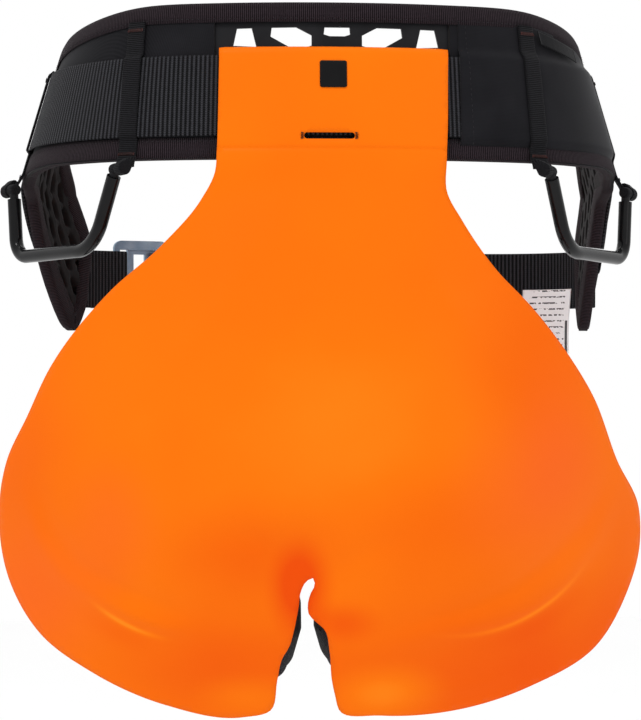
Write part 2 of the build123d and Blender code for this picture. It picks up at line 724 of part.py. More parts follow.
def leg_buckle_plane(side):
    """The leg buckle's plane at the front of the thigh: x outwards along the webbing and z to the front."""
    tilt = radians(LEG_RISE)
    _, out, _, half_depth = THIGH_LEVELS[1]
    centre = (CROTCH_X + side * (out - 3), THIGH_Y + half_depth + LEG_WEB_OUT + 1.0, LEG_BUCKLE_Z)
    return Plane(centre, x_dir=(side * cos(tilt), 0, sin(tilt)), z_dir=(0, 1, 0))


def leg_front(side, name):
    """Front strap up to the bridge, and the buckle on the front of the thigh."""
    x_from, x_to = sorted((CROTCH_X + side * EYE_START, CROTCH_X + side * (EYE_START + EYE_WIDTH)))
    with BuildPart() as strap:
        with BuildSketch(Plane.YZ.offset(x_from)):
            with Locations((BRIDGE_Y, BRIDGE_Z)):
                Circle(EYE_OUT)
            with BuildLine() as tongue:
                Line((BRIDGE_Y - 4, BRIDGE_Z - 3.5), (30, -352))
            trace(tongue.line, line_width=3.0)
            with Locations((BRIDGE_Y, BRIDGE_Z)):
                Circle(EYE_IN, mode=Mode.SUBTRACT)
        extrude(amount=x_to - x_from)
        add(thigh(side, LEG_WEB_OUT + 0.2), mode=Mode.SUBTRACT)
    finish(strap, f"leg_front_strap_{name}")

    place = leg_buckle_plane(side)
    half = LEG_BUCKLE_HEIGHT / 2 - LEG_BUCKLE_RAIL
    with BuildPart() as frame:
        with BuildSketch(place):
            RectangleRounded(LEG_BUCKLE_LENGTH, LEG_BUCKLE_HEIGHT, 5)
            for shift in (-1, 1):
                with Locations((shift * LEG_BUCKLE_LENGTH / 4.6, 0)):
                    Rectangle(11, 2 * half, mode=Mode.SUBTRACT)
        extrude(amount=2.8)
    finish(frame, f"leg_buckle_frame_{name}")
    with BuildPart() as slider:
        with BuildSketch(place.offset(5.6)):
            RectangleRounded(28, LEG_BUCKLE_HEIGHT - 2, 5)
            Rectangle(16, 2 * half - 2, mode=Mode.SUBTRACT)
        extrude(amount=2.8)
    finish(slider, f"leg_buckle_slider_{name}")
    with BuildPart() as tail:
        add(local_block(place, -30, 14, -half + 1, half - 1, 3.2, 5.0))
    finish(tail, f"leg_strap_tail_{name}")


def risers():
    """Elastic straps holding the leg loops up at the back."""
    for side, name in SIDES:
        upper = Vector(side * 62, -140, -53)
        lower = Vector(CROTCH_X + side * 88, -122.5, -352)
        along = (lower - upper).normalized()
        with BuildPart() as riser:
            with BuildSketch(Plane(upper, x_dir=(1, 0, 0), z_dir=along)):
                Rectangle(12, 1.4)
            extrude(amount=(lower - upper).length)
        finish(riser, f"riser_{name}")


if __name__ == "__main__":
    os.makedirs("parts", exist_ok=True)
    hip_pads()
    face_panels()
    back_frame()
    belt_binding()
    waist_webbing()
    right_webbing_cover()
    keepers()
    labels()
    waist_buckle()
    tie_in_loop()
    belay_loop()
    leg_bridge()
    gear_loops()
    seat_sleeve()
    seat_panel()
    leg_loops()
    risers()
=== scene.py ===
"""Looks for the climbing sit harness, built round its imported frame. Shapes are worked in millimetres."""

import math

import bmesh
import bpy
import numpy as np
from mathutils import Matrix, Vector
from mathutils.geometry import delaunay_2d_cdt


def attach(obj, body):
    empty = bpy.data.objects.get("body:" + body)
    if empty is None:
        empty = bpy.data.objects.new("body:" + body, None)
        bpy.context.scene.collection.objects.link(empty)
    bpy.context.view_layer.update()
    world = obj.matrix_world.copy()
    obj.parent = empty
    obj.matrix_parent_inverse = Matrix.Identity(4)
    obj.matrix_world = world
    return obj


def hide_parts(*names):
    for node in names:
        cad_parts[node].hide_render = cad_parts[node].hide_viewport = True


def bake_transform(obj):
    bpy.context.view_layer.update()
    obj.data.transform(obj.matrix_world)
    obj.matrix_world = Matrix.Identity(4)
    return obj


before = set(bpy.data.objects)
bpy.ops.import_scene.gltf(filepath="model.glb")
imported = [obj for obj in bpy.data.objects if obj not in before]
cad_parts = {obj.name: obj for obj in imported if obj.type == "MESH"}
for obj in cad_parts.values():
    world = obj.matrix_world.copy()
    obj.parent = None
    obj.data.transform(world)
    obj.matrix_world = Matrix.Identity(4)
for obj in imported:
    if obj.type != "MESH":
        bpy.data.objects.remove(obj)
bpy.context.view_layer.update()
MM = 0.001
ROOT = "waist_belt"
SIDES = ((-1, "left"), (1, "right"))
UP = np.array([0, 0, 1.0])
ACROSS = np.array([1.0, 0, 0])
MIDDLE_X = -10.0  # the notch and the leg loops stand a little left of the belt's middle

# ---------------------------------------------------------------- the form of the hips
# height, half width and half depth
HIP_LEVELS = ((75, 163, 131), (-60, 203, 147), (-200, 200, 150))
STEPS = 24


def quarter(a, b):
    """Arcs of one quarter of the hips in plan, in the first quadrant."""
    end, side, corner = 1.95 * a, 1.55 * b, 0.85 * b
    end_at, side_at = np.array([0, b - end]), np.array([a - side, 0])
    span = side_at - end_at
    length = np.linalg.norm(span)
    along = ((end - corner) ** 2 - (side - corner) ** 2 + length**2) / (2 * length)
    across = math.sqrt((end - corner) ** 2 - along**2)
    ahead = span / length
    corner_at = end_at + ahead * along + np.array([ahead[1], -ahead[0]]) * across
    turn_end = math.atan2(*(corner_at - end_at)[::-1])
    turn_side = math.atan2(*(corner_at - side_at)[::-1])
    return (end_at, end), (corner_at, corner), (side_at, side), turn_end, turn_side


def arc(centre, radius, start, stop):
    turns = np.linspace(start, stop, STEPS + 1)
    normal = np.stack([np.cos(turns), np.sin(turns)], 1)
    return centre + radius * normal, normal


def line(start, stop, normal):
    share = np.linspace(0, 1, STEPS + 1)[:, None]
    return np.array(start) * (1 - share) + np.array(stop) * share, np.tile(normal, (STEPS + 1, 1))


def half_ring(side, a, b):
    """Points and outward normals from the middle of the back round one side to the middle of the front."""
    (end_at, end), (corner_at, corner), (side_at, flank), turn_end, turn_side = quarter(a, b)
    top = [
        arc(side_at, flank, 0, turn_side),
        arc(corner_at, corner, turn_side, turn_end),
        arc(end_at, end, turn_end, math.pi / 2),
    ]
    back = [(p[::-1] * [1, -1], n[::-1] * [1, -1]) for p, n in top[::-1]]
    if side > 0:
        square = 0.42 * b
        top = [
            line((a, 0), (a, b - square), (1.0, 0.0)),
            arc(np.array([a - square, b - square]), square, 0, math.pi / 2),
            line((a - square, b), (0, b), (0.0, 1.0)),
        ]
    runs = back + top
    points = np.concatenate([runs[0][0]] + [p[1:] for p, _ in runs[1:]])
    normals = np.concatenate([runs[0][1]] + [n[1:] for _, n in runs[1:]])
    return points * [side, 1], normals * [side, 1]


RINGS = {s: [half_ring(s, a, b) for _, a, b in HIP_LEVELS] for s in (-1, 1)}
LEVEL_Z = np.array([z for z, _, _ in HIP_LEVELS], float)
COUNT = 6 * STEPS


def hips(w, z, grow=0.0):
    """Points grow outside the hips: w runs 0 at the back to 1 at the front, negative on the left."""
    w, z, grow = np.broadcast_arrays(np.asarray(w, float), np.asarray(z, float), np.asarray(grow, float))
    shape = w.shape
    w, z, grow = w.ravel(), z.ravel(), grow.ravel()
    place = np.clip(np.abs(w), 0, 1) * COUNT
    low = np.minimum(place.astype(int), COUNT - 1)
    part = (place - low)[:, None]
    upper = z > LEVEL_Z[1]
    tall = np.where(upper, LEVEL_Z[0] - LEVEL_Z[1], LEVEL_Z[1] - LEVEL_Z[2])
    share = ((z - np.where(upper, LEVEL_Z[1], LEVEL_Z[2])) / tall)[:, None]
    out = np.zeros((len(w), 3))
    for s in (-1, 1):
        mine = (w < 0) if s < 0 else (w >= 0)
        for here, (hi, lo) in ((upper, (0, 1)), (~upper, (1, 2))):
            m = mine & here
            plan = []
            for level in (hi, lo):
                p, n = RINGS[s][level]
                at = p[low[m]] * (1 - part[m]) + p[low[m] + 1] * part[m]
                nn = n[low[m]] * (1 - part[m]) + n[low[m] + 1] * part[m]
                plan.append(at + nn / np.linalg.norm(nn, axis=1, keepdims=True) * grow[m][:, None])
            out[m, :2] = plan[0] * share[m] + plan[1] * (1 - share[m])
    out[:, 2] = z
    return out.reshape(*shape, 3)


TABLE_W = np.linspace(0, 1, 400)


def w_at(y, z, side):
    """Where the hips' side outline reaches a depth at a height."""
    y, z = np.broadcast_arrays(np.asarray(y, float), np.asarray(z, float))
    found = [np.interp(a, hips(side * TABLE_W, b)[:, 1], TABLE_W) for a, b in zip(y.ravel(), z.ravel())]
    return side * np.array(found).reshape(y.shape)


def run_length(points):
    return np.concatenate([[0], np.cumsum(np.linalg.norm(np.diff(points, axis=0), axis=1))])


def smooth_line(points, radius, step=1.5):
    """A polyline sampled along its length and rounded off."""
    points = np.array(points, float)
    run = run_length(points)
    at = np.linspace(0, run[-1], max(int(run[-1] / step), 8))
    fine = np.stack([np.interp(at, run, points[:, i]) for i in range(points.shape[1])], 1)
    reach = max(int(radius / step), 1)
    for _ in range(2):
        padded = np.concatenate([fine[:1]] * reach + [fine] + [fine[-1:]] * reach)
        kernel = np.ones(2 * reach + 1) / (2 * reach + 1)
        fine = np.stack([np.convolve(padded[:, i], kernel, "valid") for i in range(fine.shape[1])], 1)
    return fine


BELT_TOP = smooth_line(
    [(-160, 50.5), (-105, 50.5), (-35, 36), (22, 16), (86, -55), (99, -88), (100.5, -100)], 7
)
BELT_LOW = smooth_line(
    [(-160, -50.5), (-70, -50.5), (-20, -55), (22, -68), (80, -157), (87, -162), (96, -142), (100.5, -100)], 4
)
WEB = smooth_line([(-160, -9.5), (5, -9.5), (60, -74), (96, -112), (140, -121), (170, -121)], 12)


def top_z(y):
    """The belt's upper edge in side view; low_z and web_z give its lower edge and the webbing's middle."""
    return np.interp(y, BELT_TOP[:, 0], BELT_TOP[:, 1])


def low_z(y):
    order = np.argsort(BELT_LOW[:, 0])
    return np.interp(y, BELT_LOW[order, 0], BELT_LOW[order, 1])


def web_z(y):
    return np.interp(y, WEB[:, 0], WEB[:, 1])


def web_slope(y):
    return (web_z(y + 1) - web_z(y - 1)) / 2


def full_turn(count):
    return np.linspace(0, 2 * math.pi, count, endpoint=False)


def ease(share):
    return share * share * (3 - 2 * share)


def hip_size(z):
    """Half width and half depth of the hips at a height."""
    return [np.interp(z, LEVEL_Z[::-1], [level[k] for level in HIP_LEVELS][::-1]) for k in (1, 2)]


def settle(w, height):
    """Height of a side-view line at each ring place, where depth and height depend on each other."""
    z = np.full(np.shape(w), -40.0)
    for _ in range(4):
        z = height(hips(w, z)[..., 1])
    return z


# ---------------------------------------------------------------- materials
def material(name, colour, rough, **sockets):
    mat = bpy.data.materials.new(name)
    mat.use_nodes = True
    shader = mat.node_tree.nodes["Principled BSDF"]
    shader.inputs["Base Color"].default_value = (*colour, 1)
    shader.inputs["Roughness"].default_value = rough
    for key, value in sockets.items():
        shader.inputs[key.replace("_", " ")].default_value = value
    return mat, mat.node_tree, shader


def node(tree, kind, **values):
    made = tree.nodes.new(kind)
    for key, value in values.items():
        if key.startswith("in_"):
            made.inputs[key[3:].replace("_", " ")].default_value = value
        else:
            setattr(made, key, value)
    return made


def maths(tree, how, *values):
    made = tree.nodes.new("ShaderNodeMath")
    made.operation = how
    for socket, value in zip(made.inputs, values):
        if hasattr(value, "links"):
            tree.links.new(value, socket)
        else:
            socket.default_value = value
    return made.outputs[0]


def plus(tree, base, value, weight):
    """base + value * weight."""
    return maths(tree, "ADD", base, maths(tree, "MULTIPLY", value, weight))


def times(tree, a, b):
    return maths(tree, "MULTIPLY", a, b)


def coords(tree, uv):
    """UV in millimetres, or the object's own coordinates."""
    if uv:
        return node(tree, "ShaderNodeUVMap", uv_map="UVMap").outputs[0]
    return node(tree, "ShaderNodeTexCoord").outputs["Object"]


def parts_of(tree, vector):
    split = node(tree, "ShaderNodeSeparateXYZ")
    tree.links.new(vector, split.inputs[0])
    return split.outputs


def noise(tree, vector, scale, detail=3.0, rough=0.55):
    made = node(tree, "ShaderNodeTexNoise", in_Scale=scale, in_Detail=detail, in_Roughness=rough)
    tree.links.new(vector, made.inputs["Vector"])
    return made.outputs["Fac"]


def ramp(tree, value, low, high, dark, light):
    made = node(tree, "ShaderNodeValToRGB")
    for stop, place, colour in zip(made.color_ramp.elements, (low, high), (dark, light)):
        stop.position = place
        stop.color = (*colour, 1)
    tree.links.new(value, made.inputs[0])
    return made.outputs[0]


def paint(tree, shader, value, low, high, dark, light):
    """Base colour from dark to light as a value goes from low to high."""
    tree.links.new(ramp(tree, value, low, high, dark, light), shader.inputs["Base Color"])


def bump(tree, shader, height, strength, distance):
    made = node(tree, "ShaderNodeBump", in_Strength=strength, in_Distance=distance)
    tree.links.new(height, made.inputs["Height"])
    tree.links.new(made.outputs[0], shader.inputs["Normal"])


def roughen(tree, shader, value, low, high):
    """Roughness from low to high as a value goes from 0 to 1."""
    made = node(tree, "ShaderNodeMapRange", in_To_Min=low, in_To_Max=high)
    tree.links.new(value, made.inputs["Value"])
    tree.links.new(made.outputs[0], shader.inputs["Roughness"])


def waves(tree, value, pitch):
    """A smooth ridge profile, 0 to 1, repeating at the pitch."""
    turned = times(tree, value, 2 * math.pi / pitch)
    return maths(tree, "ADD", times(tree, maths(tree, "SINE", turned), 0.5), 0.5)


def shade(colour, factor, lift=0.0):
    return tuple(min(c * factor + lift, 1) for c in colour)


def ribbed(name, colour, pitch, fine, lift, rough=0.6, sheen=0.03, painted_crest_light=2.2):
    """Woven tape: cross ribs at one pitch, lengthwise yarns at another, both in UV millimetres."""
    mat, tree, shader = material(
        name, colour, rough, Sheen_Weight=sheen, Sheen_Roughness=0.5, Specular_IOR_Level=0.03
    )
    u, v, _ = parts_of(tree, coords(tree, True))
    flat = noise(tree, coords(tree, False), 400.0, 2.0)
    across = waves(tree, plus(tree, u, flat, 0.35), pitch)
    yarn = waves(tree, plus(tree, v, across, fine * 0.5), fine)
    height = plus(tree, times(tree, across, 0.7), yarn, 0.3)
    bump(tree, shader, height, 0.9, lift)
    tone = plus(tree, times(tree, height, 0.8), flat, 0.2)
    # colour follows the rib height: painted shade in the grooves and painted light on the crests, with a
    # little random tone
    paint(tree, shader, tone, 0.3, 0.95, shade(colour, 0.3), shade(colour, painted_crest_light, 0.004))
    roughen(tree, shader, flat, rough - 0.08, rough + 0.12)
    return mat


def cloth(name, colour, scale, rough=0.6, sheen=0.2, lift=0.00012):
    """Close plain weave that needs no UV: two crossed sets of yarns in object space."""
    mat, tree, shader = material(
        name, colour, rough, Sheen_Weight=sheen, Sheen_Roughness=0.45, Specular_IOR_Level=0.03
    )
    at = coords(tree, False)
    x, y, z = parts_of(tree, at)
    warp = waves(tree, times(tree, maths(tree, "ADD", x, y), 1000.0), scale)
    weft = waves(tree, times(tree, z, 1000.0), scale)
    weave = times(tree, maths(tree, "ADD", warp, weft), 0.5)
    broad = noise(tree, at, 22.0, 5.0)
    height = plus(tree, times(tree, weave, 0.35), broad, 0.65)
    bump(tree, shader, height, 0.6, lift)
    # colour follows the height: a random mottle, with painted shade between the yarns and painted light on
    # their crests
    paint(tree, shader, height, 0.3, 0.75, shade(colour, 0.7), shade(colour, 1.5, 0.0015))
    roughen(tree, shader, broad, rough - 0.1, rough + 0.1)
    return mat


def foam():
    """Closed-cell foam: fine pores over a soft mottle."""
    mat, tree, shader = material(
        "foam", (0.010, 0.0095, 0.010), 0.8, Sheen_Weight=0.03, Specular_IOR_Level=0.06
    )
    at = coords(tree, False)
    pores = node(tree, "ShaderNodeTexVoronoi", in_Scale=1300.0)
    tree.links.new(at, pores.inputs["Vector"])
    broad = noise(tree, at, 60.0, 4.0)
    bump(tree, shader, plus(tree, pores.outputs["Distance"], broad, 0.6), 0.5, 0.0002)
    paint(tree, shader, broad, 0.3, 0.75, (0.006, 0.0056, 0.006), (0.017, 0.016, 0.017))
    return mat


def moulded(name, colour, rough, grain, coat=0.0):
    """Moulded plastic with a fine grain and slight rubbed patches."""
    gloss = 0.15 if coat else 0.1
    mat, tree, shader = material(
        name, colour, rough, Coat_Weight=coat, Coat_Roughness=0.12, Specular_IOR_Level=gloss
    )
    at = coords(tree, False)
    fine = noise(tree, at, grain, 3.0)
    broad = noise(tree, at, 30.0, 4.0)
    bump(tree, shader, fine, 0.25, 0.00008)
    roughen(tree, shader, broad, max(rough - 0.08, 0.03), rough + 0.12)
    paint(tree, shader, broad, 0.35, 0.7, shade(colour, 0.8), shade(colour, 1.35, 0.002))
    return mat


def anodised():
    """Slate-blue anodised plate: brushed along, paler where edges rub."""
    mat, tree, shader = material("anodised_alloy", (0.20, 0.29, 0.38), 0.36, Metallic=0.9)
    at = coords(tree, False)
    stretch = node(tree, "ShaderNodeMapping")
    stretch.inputs["Scale"].default_value = (1.0, 1.0, 14.0)
    tree.links.new(at, stretch.inputs["Vector"])
    brushed = noise(tree, stretch.outputs[0], 160.0, 4.0)
    broad = noise(tree, at, 45.0, 4.0)
    roughen(tree, shader, brushed, 0.26, 0.5)
    bump(tree, shader, brushed, 0.15, 0.00005)
    paint(tree, shader, broad, 0.35, 0.75, (0.15, 0.23, 0.32), (0.34, 0.43, 0.52))
    return mat


# soft patches of painted shade on the sheet, darker towards the bottom, the sides and the notch, and of
# painted light where the strength is negative: place, size and strength
PAINTED_SHADE_AND_LIGHT = [
    (120, -395, 200, 95, 0.85), (140, -190, 70, 110, 0.4), (66, -292, 110, 62, 0.35),
    (-72, -385, 120, 60, 0.6), (-24, -330, 26, 42, 1.3), (-58, -308, 80, 48, 0.5),
    (4, -352, 30, 18, 0.6), (205, -330, 55, 120, 0.4), (-205, -250, 50, 110, 0.25),
    (34, -400, 52, 26, -0.8), (-56, -402, 46, 20, -0.5), (0, -220, 120, 90, -0.3),
]
# painted pink sheen on the lobes: place, size and strength
PAINTED_SHEEN_PATCHES = [
    (133, -270, 80, 76, 0.6), (-200, -340, 70, 70, 0.6), (-146, -292, 42, 60, 0.4), (152, -228, 50, 80, 0.4),
]
# painted highlight arcs along the pressed creases, each with a band of painted shade below: centre, radius,
# then the middle and size of the patch where they show
PAINTED_CREASE_LINES = [(79.7, -246.9, 115.7, (122, -343), (74, 46)), (-91.5, -261.8, 104.2, (-138, -355), (40, 26))]


def patch(tree, x, z, wide, high):
    """A soft round patch, from sheet places in millimetres."""
    place = node(tree, "ShaderNodeMapping", vector_type="TEXTURE")
    place.inputs["Location"].default_value = (x, z, 0)
    place.inputs["Scale"].default_value = (wide, high, 1)
    tree.links.new(coords(tree, True), place.inputs["Vector"])
    fall = node(tree, "ShaderNodeTexGradient", gradient_type="SPHERICAL")
    tree.links.new(place.outputs[0], fall.inputs[0])
    soft = node(tree, "ShaderNodeMapRange", interpolation_type="SMOOTHSTEP")
    tree.links.new(fall.outputs["Fac"], soft.inputs["Value"])
    return soft.outputs[0]


def painted_crease_line(tree, x, z, radius, middle, size):
    """A painted highlight: a fine pale arc, with a soft band of painted shade under it, fading out towards
    its ends.
    """
    away = node(tree, "ShaderNodeVectorMath", operation="DISTANCE")
    tree.links.new(coords(tree, True), away.inputs[0])
    away.inputs[1].default_value = (x, z, 0)
    off = maths(tree, "SUBTRACT", away.outputs["Value"], radius)
    below = maths(tree, "SUBTRACT", off, 9.0)
    fine, under = (
        maths(tree, "EXPONENT", times(tree, times(tree, value, value), fall))
        for value, fall in ((off, -0.35), (below, -0.012))
    )
    mark = maths(tree, "SUBTRACT", times(tree, under, 0.3), fine)
    return times(tree, mark, patch(tree, *middle, *size))


def coated_orange():
    """Heavy coated cloth: satin film with a faint grain and a slow random drift in tone, with patches of
    painted shade and painted light, painted highlight lines on the creases and a painted pink sheen on the
    lobes.
    """
    mat, tree, shader = material("coated_orange", (0.84, 0.165, 0.003), 0.42, Specular_IOR_Level=0.05)
    at = coords(tree, False)
    drift = noise(tree, at, 5.5, 3.0, 0.5)
    grain = noise(tree, at, 900.0, 2.0)
    mid = noise(tree, at, 38.0, 4.0, 0.6)
    # deep starts as the slow random drift in tone; the painted shade and light patches and the painted crease
    # lines are added to it
    deep = times(tree, maths(tree, "SUBTRACT", 0.62, drift), 0.8)
    for *place, strength in PAINTED_SHADE_AND_LIGHT:
        deep = plus(tree, deep, patch(tree, *place), strength)
    for values in PAINTED_CREASE_LINES:
        deep = maths(tree, "ADD", deep, painted_crease_line(tree, *values))
    # painted pink sheen, mixed over the tone as a pinker orange
    painted_sheen = 0.0
    for *place, strength in PAINTED_SHEEN_PATCHES:
        painted_sheen = plus(tree, painted_sheen, patch(tree, *place), strength)
    # the ramp runs from a pale orange of painted light through the cloth's orange to a deep red of painted
    # shade, also spreading the random drift
    tone = ramp(tree, plus(tree, 0.3, deep, 0.6), 0.0, 1.0, (0.88, 0.215, 0.006), (0.75, 0.068, 0.0003))
    middle = tone.node.color_ramp.elements.new(0.3)
    middle.color = (0.84, 0.158, 0.0010, 1)
    mix = node(tree, "ShaderNodeMix", data_type="RGBA")
    mix.inputs["B"].default_value = (0.82, 0.115, 0.013, 1)
    tree.links.new(painted_sheen, mix.inputs["Factor"])
    tree.links.new(tone, mix.inputs["A"])
    tree.links.new(mix.outputs["Result"], shader.inputs["Base Color"])
    roughen(tree, shader, mid, 0.34, 0.52)
    bump(tree, shader, plus(tree, times(tree, grain, 0.12), mid, 0.8), 0.28, 0.0004)
    return mat


def printed_label():
    """White satin label with blocks of pale grey lines, UV in millimetres."""
    mat, tree, shader = material("label_white", (0.8, 0.81, 0.81), 0.5)
    uv = coords(tree, True)
    u, v, _ = parts_of(tree, uv)
    u = maths(tree, "SUBTRACT", 49.0, u)
    rows = maths(tree, "GREATER_THAN", waves(tree, v, 4.6), 0.86)
    broken = maths(tree, "GREATER_THAN", noise(tree, uv, 0.35, 1.0), 0.47)
    block, strip = (
        times(tree, maths(tree, "GREATER_THAN", u, low), maths(tree, "LESS_THAN", u, high))
        for low, high in ((4.0, 40.0), (42.0, 46.5))
    )
    lines = times(tree, times(tree, rows, broken), block)
    strip = times(tree, strip, maths(tree, "GREATER_THAN", v, 24.0))
    ink = maths(tree, "MAXIMUM", lines, strip)
    paint(tree, shader, ink, 0.0, 1.0, (0.84, 0.85, 0.87), (0.03, 0.03, 0.035))
    weave = maths(tree, "ADD", waves(tree, u, 0.5), waves(tree, v, 0.5))
    bump(tree, shader, weave, 0.2, 0.00005)
    return mat


MAT = {
    "webbing": ribbed("webbing", (0.0095, 0.0095, 0.011), 3.0, 1.5, 0.0009, painted_crest_light=4.5),
    "webbing_narrow": ribbed("webbing_narrow", (0.0080, 0.0078, 0.0092), 1.3, 0.9, 0.0004),
    "grosgrain": ribbed("grosgrain", (0.0105, 0.0072, 0.0090), 1.3, 0.9, 0.0004, rough=0.7, painted_crest_light=4.0),
    "elastic": ribbed("elastic", (0.012, 0.012, 0.013), 1.1, 0.7, 0.0003, rough=0.75),
    "shell": cloth("shell_fabric", (0.0085, 0.0083, 0.0100), 0.9, 0.6, 0.05),
    "grip": cloth("grip_tape", (0.018, 0.018, 0.020), 1.4, 0.85, 0.2, 0.0004),
    "label_black": cloth("label_black", (0.007, 0.007, 0.008), 0.6, 0.5, 0.05),
    "foam": foam(),
    "frame": moulded("frame_plastic", (0.009, 0.009, 0.0105), 0.5, 700.0),
    "tube": moulded("gear_tube", (0.003, 0.003, 0.0035), 0.14, 300.0, coat=0.02),
    "core": moulded("gear_core", (0.008, 0.008, 0.009), 0.42, 500.0),
    "badge": moulded("badge_print", (0.003, 0.0027, 0.003), 0.5, 800.0),
    "alloy": anodised(),
    "orange": coated_orange(),
    "label": printed_label(),
    "thread": cloth("thread_black", (0.016, 0.014, 0.017), 0.5, 0.7, 0.1),
    "bartack": cloth("thread_brown", (0.055, 0.012, 0.010), 0.5, 0.6, 0.1),
}


# ---------------------------------------------------------------- mesh helpers
def piece(name, points, faces, mats, uvs=None, face_mats=None):
    """A mesh object from millimetre points; uvs go with the points, in millimetres."""
    mesh = bpy.data.meshes.new(name)
    places = [tuple(p) for p in np.asarray(points, float) * MM]
    mesh.from_pydata(places, [], [tuple(map(int, f)) for f in faces])
    for m in mats:
        mesh.materials.append(m)
    if face_mats is not None:
        mesh.polygons.foreach_set("material_index", np.asarray(face_mats, np.int32))
    if uvs is not None:
        layer = mesh.uv_layers.new(name="UVMap")
        index = np.zeros(len(mesh.loops), np.int32)
        mesh.loops.foreach_get("vertex_index", index)
        layer.data.foreach_set("uv", np.asarray(uvs, np.float32)[index].ravel())
    mesh.polygons.foreach_set("use_smooth", np.full(len(mesh.polygons), True))
    mesh.validate()
    mesh.update()
    made = bpy.data.objects.new(name, mesh)
    bpy.context.scene.collection.objects.link(made)
    return made


def quads(nu, nv, close_u=False, close_v=False):
    """Faces of a grid whose points are numbered u * nv + v."""
    u = np.arange(nu if close_u else nu - 1)
    v = np.arange(nv if close_v else nv - 1)
    uu, vv = np.meshgrid(u, v, indexing="ij")
    u2, v2 = (uu + 1) % nu, (vv + 1) % nv
    return np.stack([uu * nv + vv, u2 * nv + vv, u2 * nv + v2, uu * nv + v2], -1).reshape(-1, 4)


def caps(n, m):
    """The two end faces of a swept tube of n rings of m points."""
    return [tuple(range(m))[::-1], tuple((n - 1) * m + i for i in range(m))]


def slab_faces(nu, nv):
    """Faces of a closed slab whose two point grids follow each other: one side, the other, then the rim."""
    count = nu * nv
    face = quads(nu, nv)
    rim = [u * nv for u in range(nu)] + [(nu - 1) * nv + j for j in range(1, nv)]
    rim += [u * nv + nv - 1 for u in range(nu - 2, -1, -1)] + [j for j in range(nv - 2, 0, -1)]
    walls = [(a, b, b + count, a + count) for a, b in zip(rim, rim[1:] + rim[:1])]
    return [tuple(f) for f in face] + [tuple(f) for f in face[:, ::-1] + count] + walls


def uv_grid(u, v):
    return np.stack(np.broadcast_arrays(u, v), -1).reshape(-1, 2)


def face_outwards(obj):
    work = bmesh.new()
    work.from_mesh(obj.data)
    bmesh.ops.recalc_face_normals(work, faces=work.faces)
    work.to_mesh(obj.data)
    work.free()


def slab(name, low, high, mats):
    """A thin closed slab between two point grids."""
    points = np.concatenate([low.reshape(-1, 3), high.reshape(-1, 3)])
    made = piece(name, points, slab_faces(*low.shape[:2]), mats)
    face_outwards(made)
    return made


def fit(made, slot, body, *nodes):
    """Attaches a piece to the body it moves with and hides any CAD nodes that it replaces. slot, the piece's
    record material, is not used.
    """
    if nodes:
        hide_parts(*nodes)
    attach(made, body)


def tube_of(name, centres, across, normal, section, mats, closed=False):
    """Sweeps a closed section, given as (across, out) millimetres, along a line of centres.

    across and normal hold the section's two directions at each centre, or one direction for all of them.
    """
    centres = np.asarray(centres, float)
    across, normal = (np.broadcast_to(way, centres.shape) for way in (across, normal))
    section = np.asarray(section, float)
    points = centres[:, None] + across[:, None] * section[:, :1] + normal[:, None] * section[:, 1:]
    n, m = points.shape[:2]
    faces = list(quads(n, m, closed, True))
    if not closed:
        faces += caps(n, m)
    length = run_length(centres)
    ring = run_length(np.concatenate([section, section[:1]]))[:-1]
    uvs = uv_grid(length[:, None], ring)
    return piece(name, points.reshape(-1, 3), faces, mats, uvs)


def strap_section(width, inner, outer, columns=10, crown=0.0):
    """Cross-section of a flat strap with soft edges, counted from its inner face."""
    half, thick = width / 2, outer - inner
    lip = min(thick * 0.45, 0.9)
    xs = np.linspace(-half + lip, half - lip, columns)
    rise = crown * (1 - (xs / half) ** 2)
    face = [(x, outer + r) for x, r in zip(xs, rise)]
    soft = half - lip * 0.25
    turn = [(soft, outer - lip * 0.3), (half, (inner + outer) / 2), (soft, inner + lip * 0.3)]
    back = [(x, inner) for x in xs[::-1]]
    other = [(-x, y) for x, y in turn[::-1]]
    return np.array(face + turn + back + other)


def unit(v):
    v = np.asarray(v, float)
    return v / np.maximum(np.linalg.norm(v, axis=-1, keepdims=True), 1e-9)


def ring_ahead(points):
    """Directions along a closed line of points."""
    return unit(np.roll(points, -1, 0) - np.roll(points, 1, 0))


def hip_frame(w, z):
    """Outward normals of the hips at ring places."""
    w, z = np.broadcast_arrays(np.asarray(w, float), np.asarray(z, float))
    e = 0.002
    along = unit(hips(np.clip(w + e, -1, 1), z) - hips(np.clip(w - e, -1, 1), z))
    up = unit(hips(w, z + 1) - hips(w, z - 1))
    return along, up, unit(np.cross(along, up))


def around(name, w, z, section, mats, spread_z=None):
    """A strap round the hips: its section stands upright, scaled by the slope of its side-view line."""
    w, z = np.asarray(w, float), np.asarray(z, float)
    n, m = len(w), len(section)
    scale = np.ones(n) if spread_z is None else spread_z
    zz = z[:, None] + section[None, :, 0] * scale[:, None]
    points = hips(np.repeat(w[:, None], m, 1), zz, np.broadcast_to(section[None, :, 1], zz.shape))
    faces = list(quads(n, m, False, True)) + caps(n, m)
    centres = hips(w, z, 8.0)
    ahead = unit(np.gradient(centres, axis=0))
    ahead[:, 2] *= 0.3
    lead = np.sum((points - centres[:, None]) * unit(ahead)[:, None], 2)
    length = run_length(centres)[:, None] + lead
    uvs = uv_grid(length, section[:, 0])
    return piece(name, points.reshape(-1, 3), faces, mats, uvs)


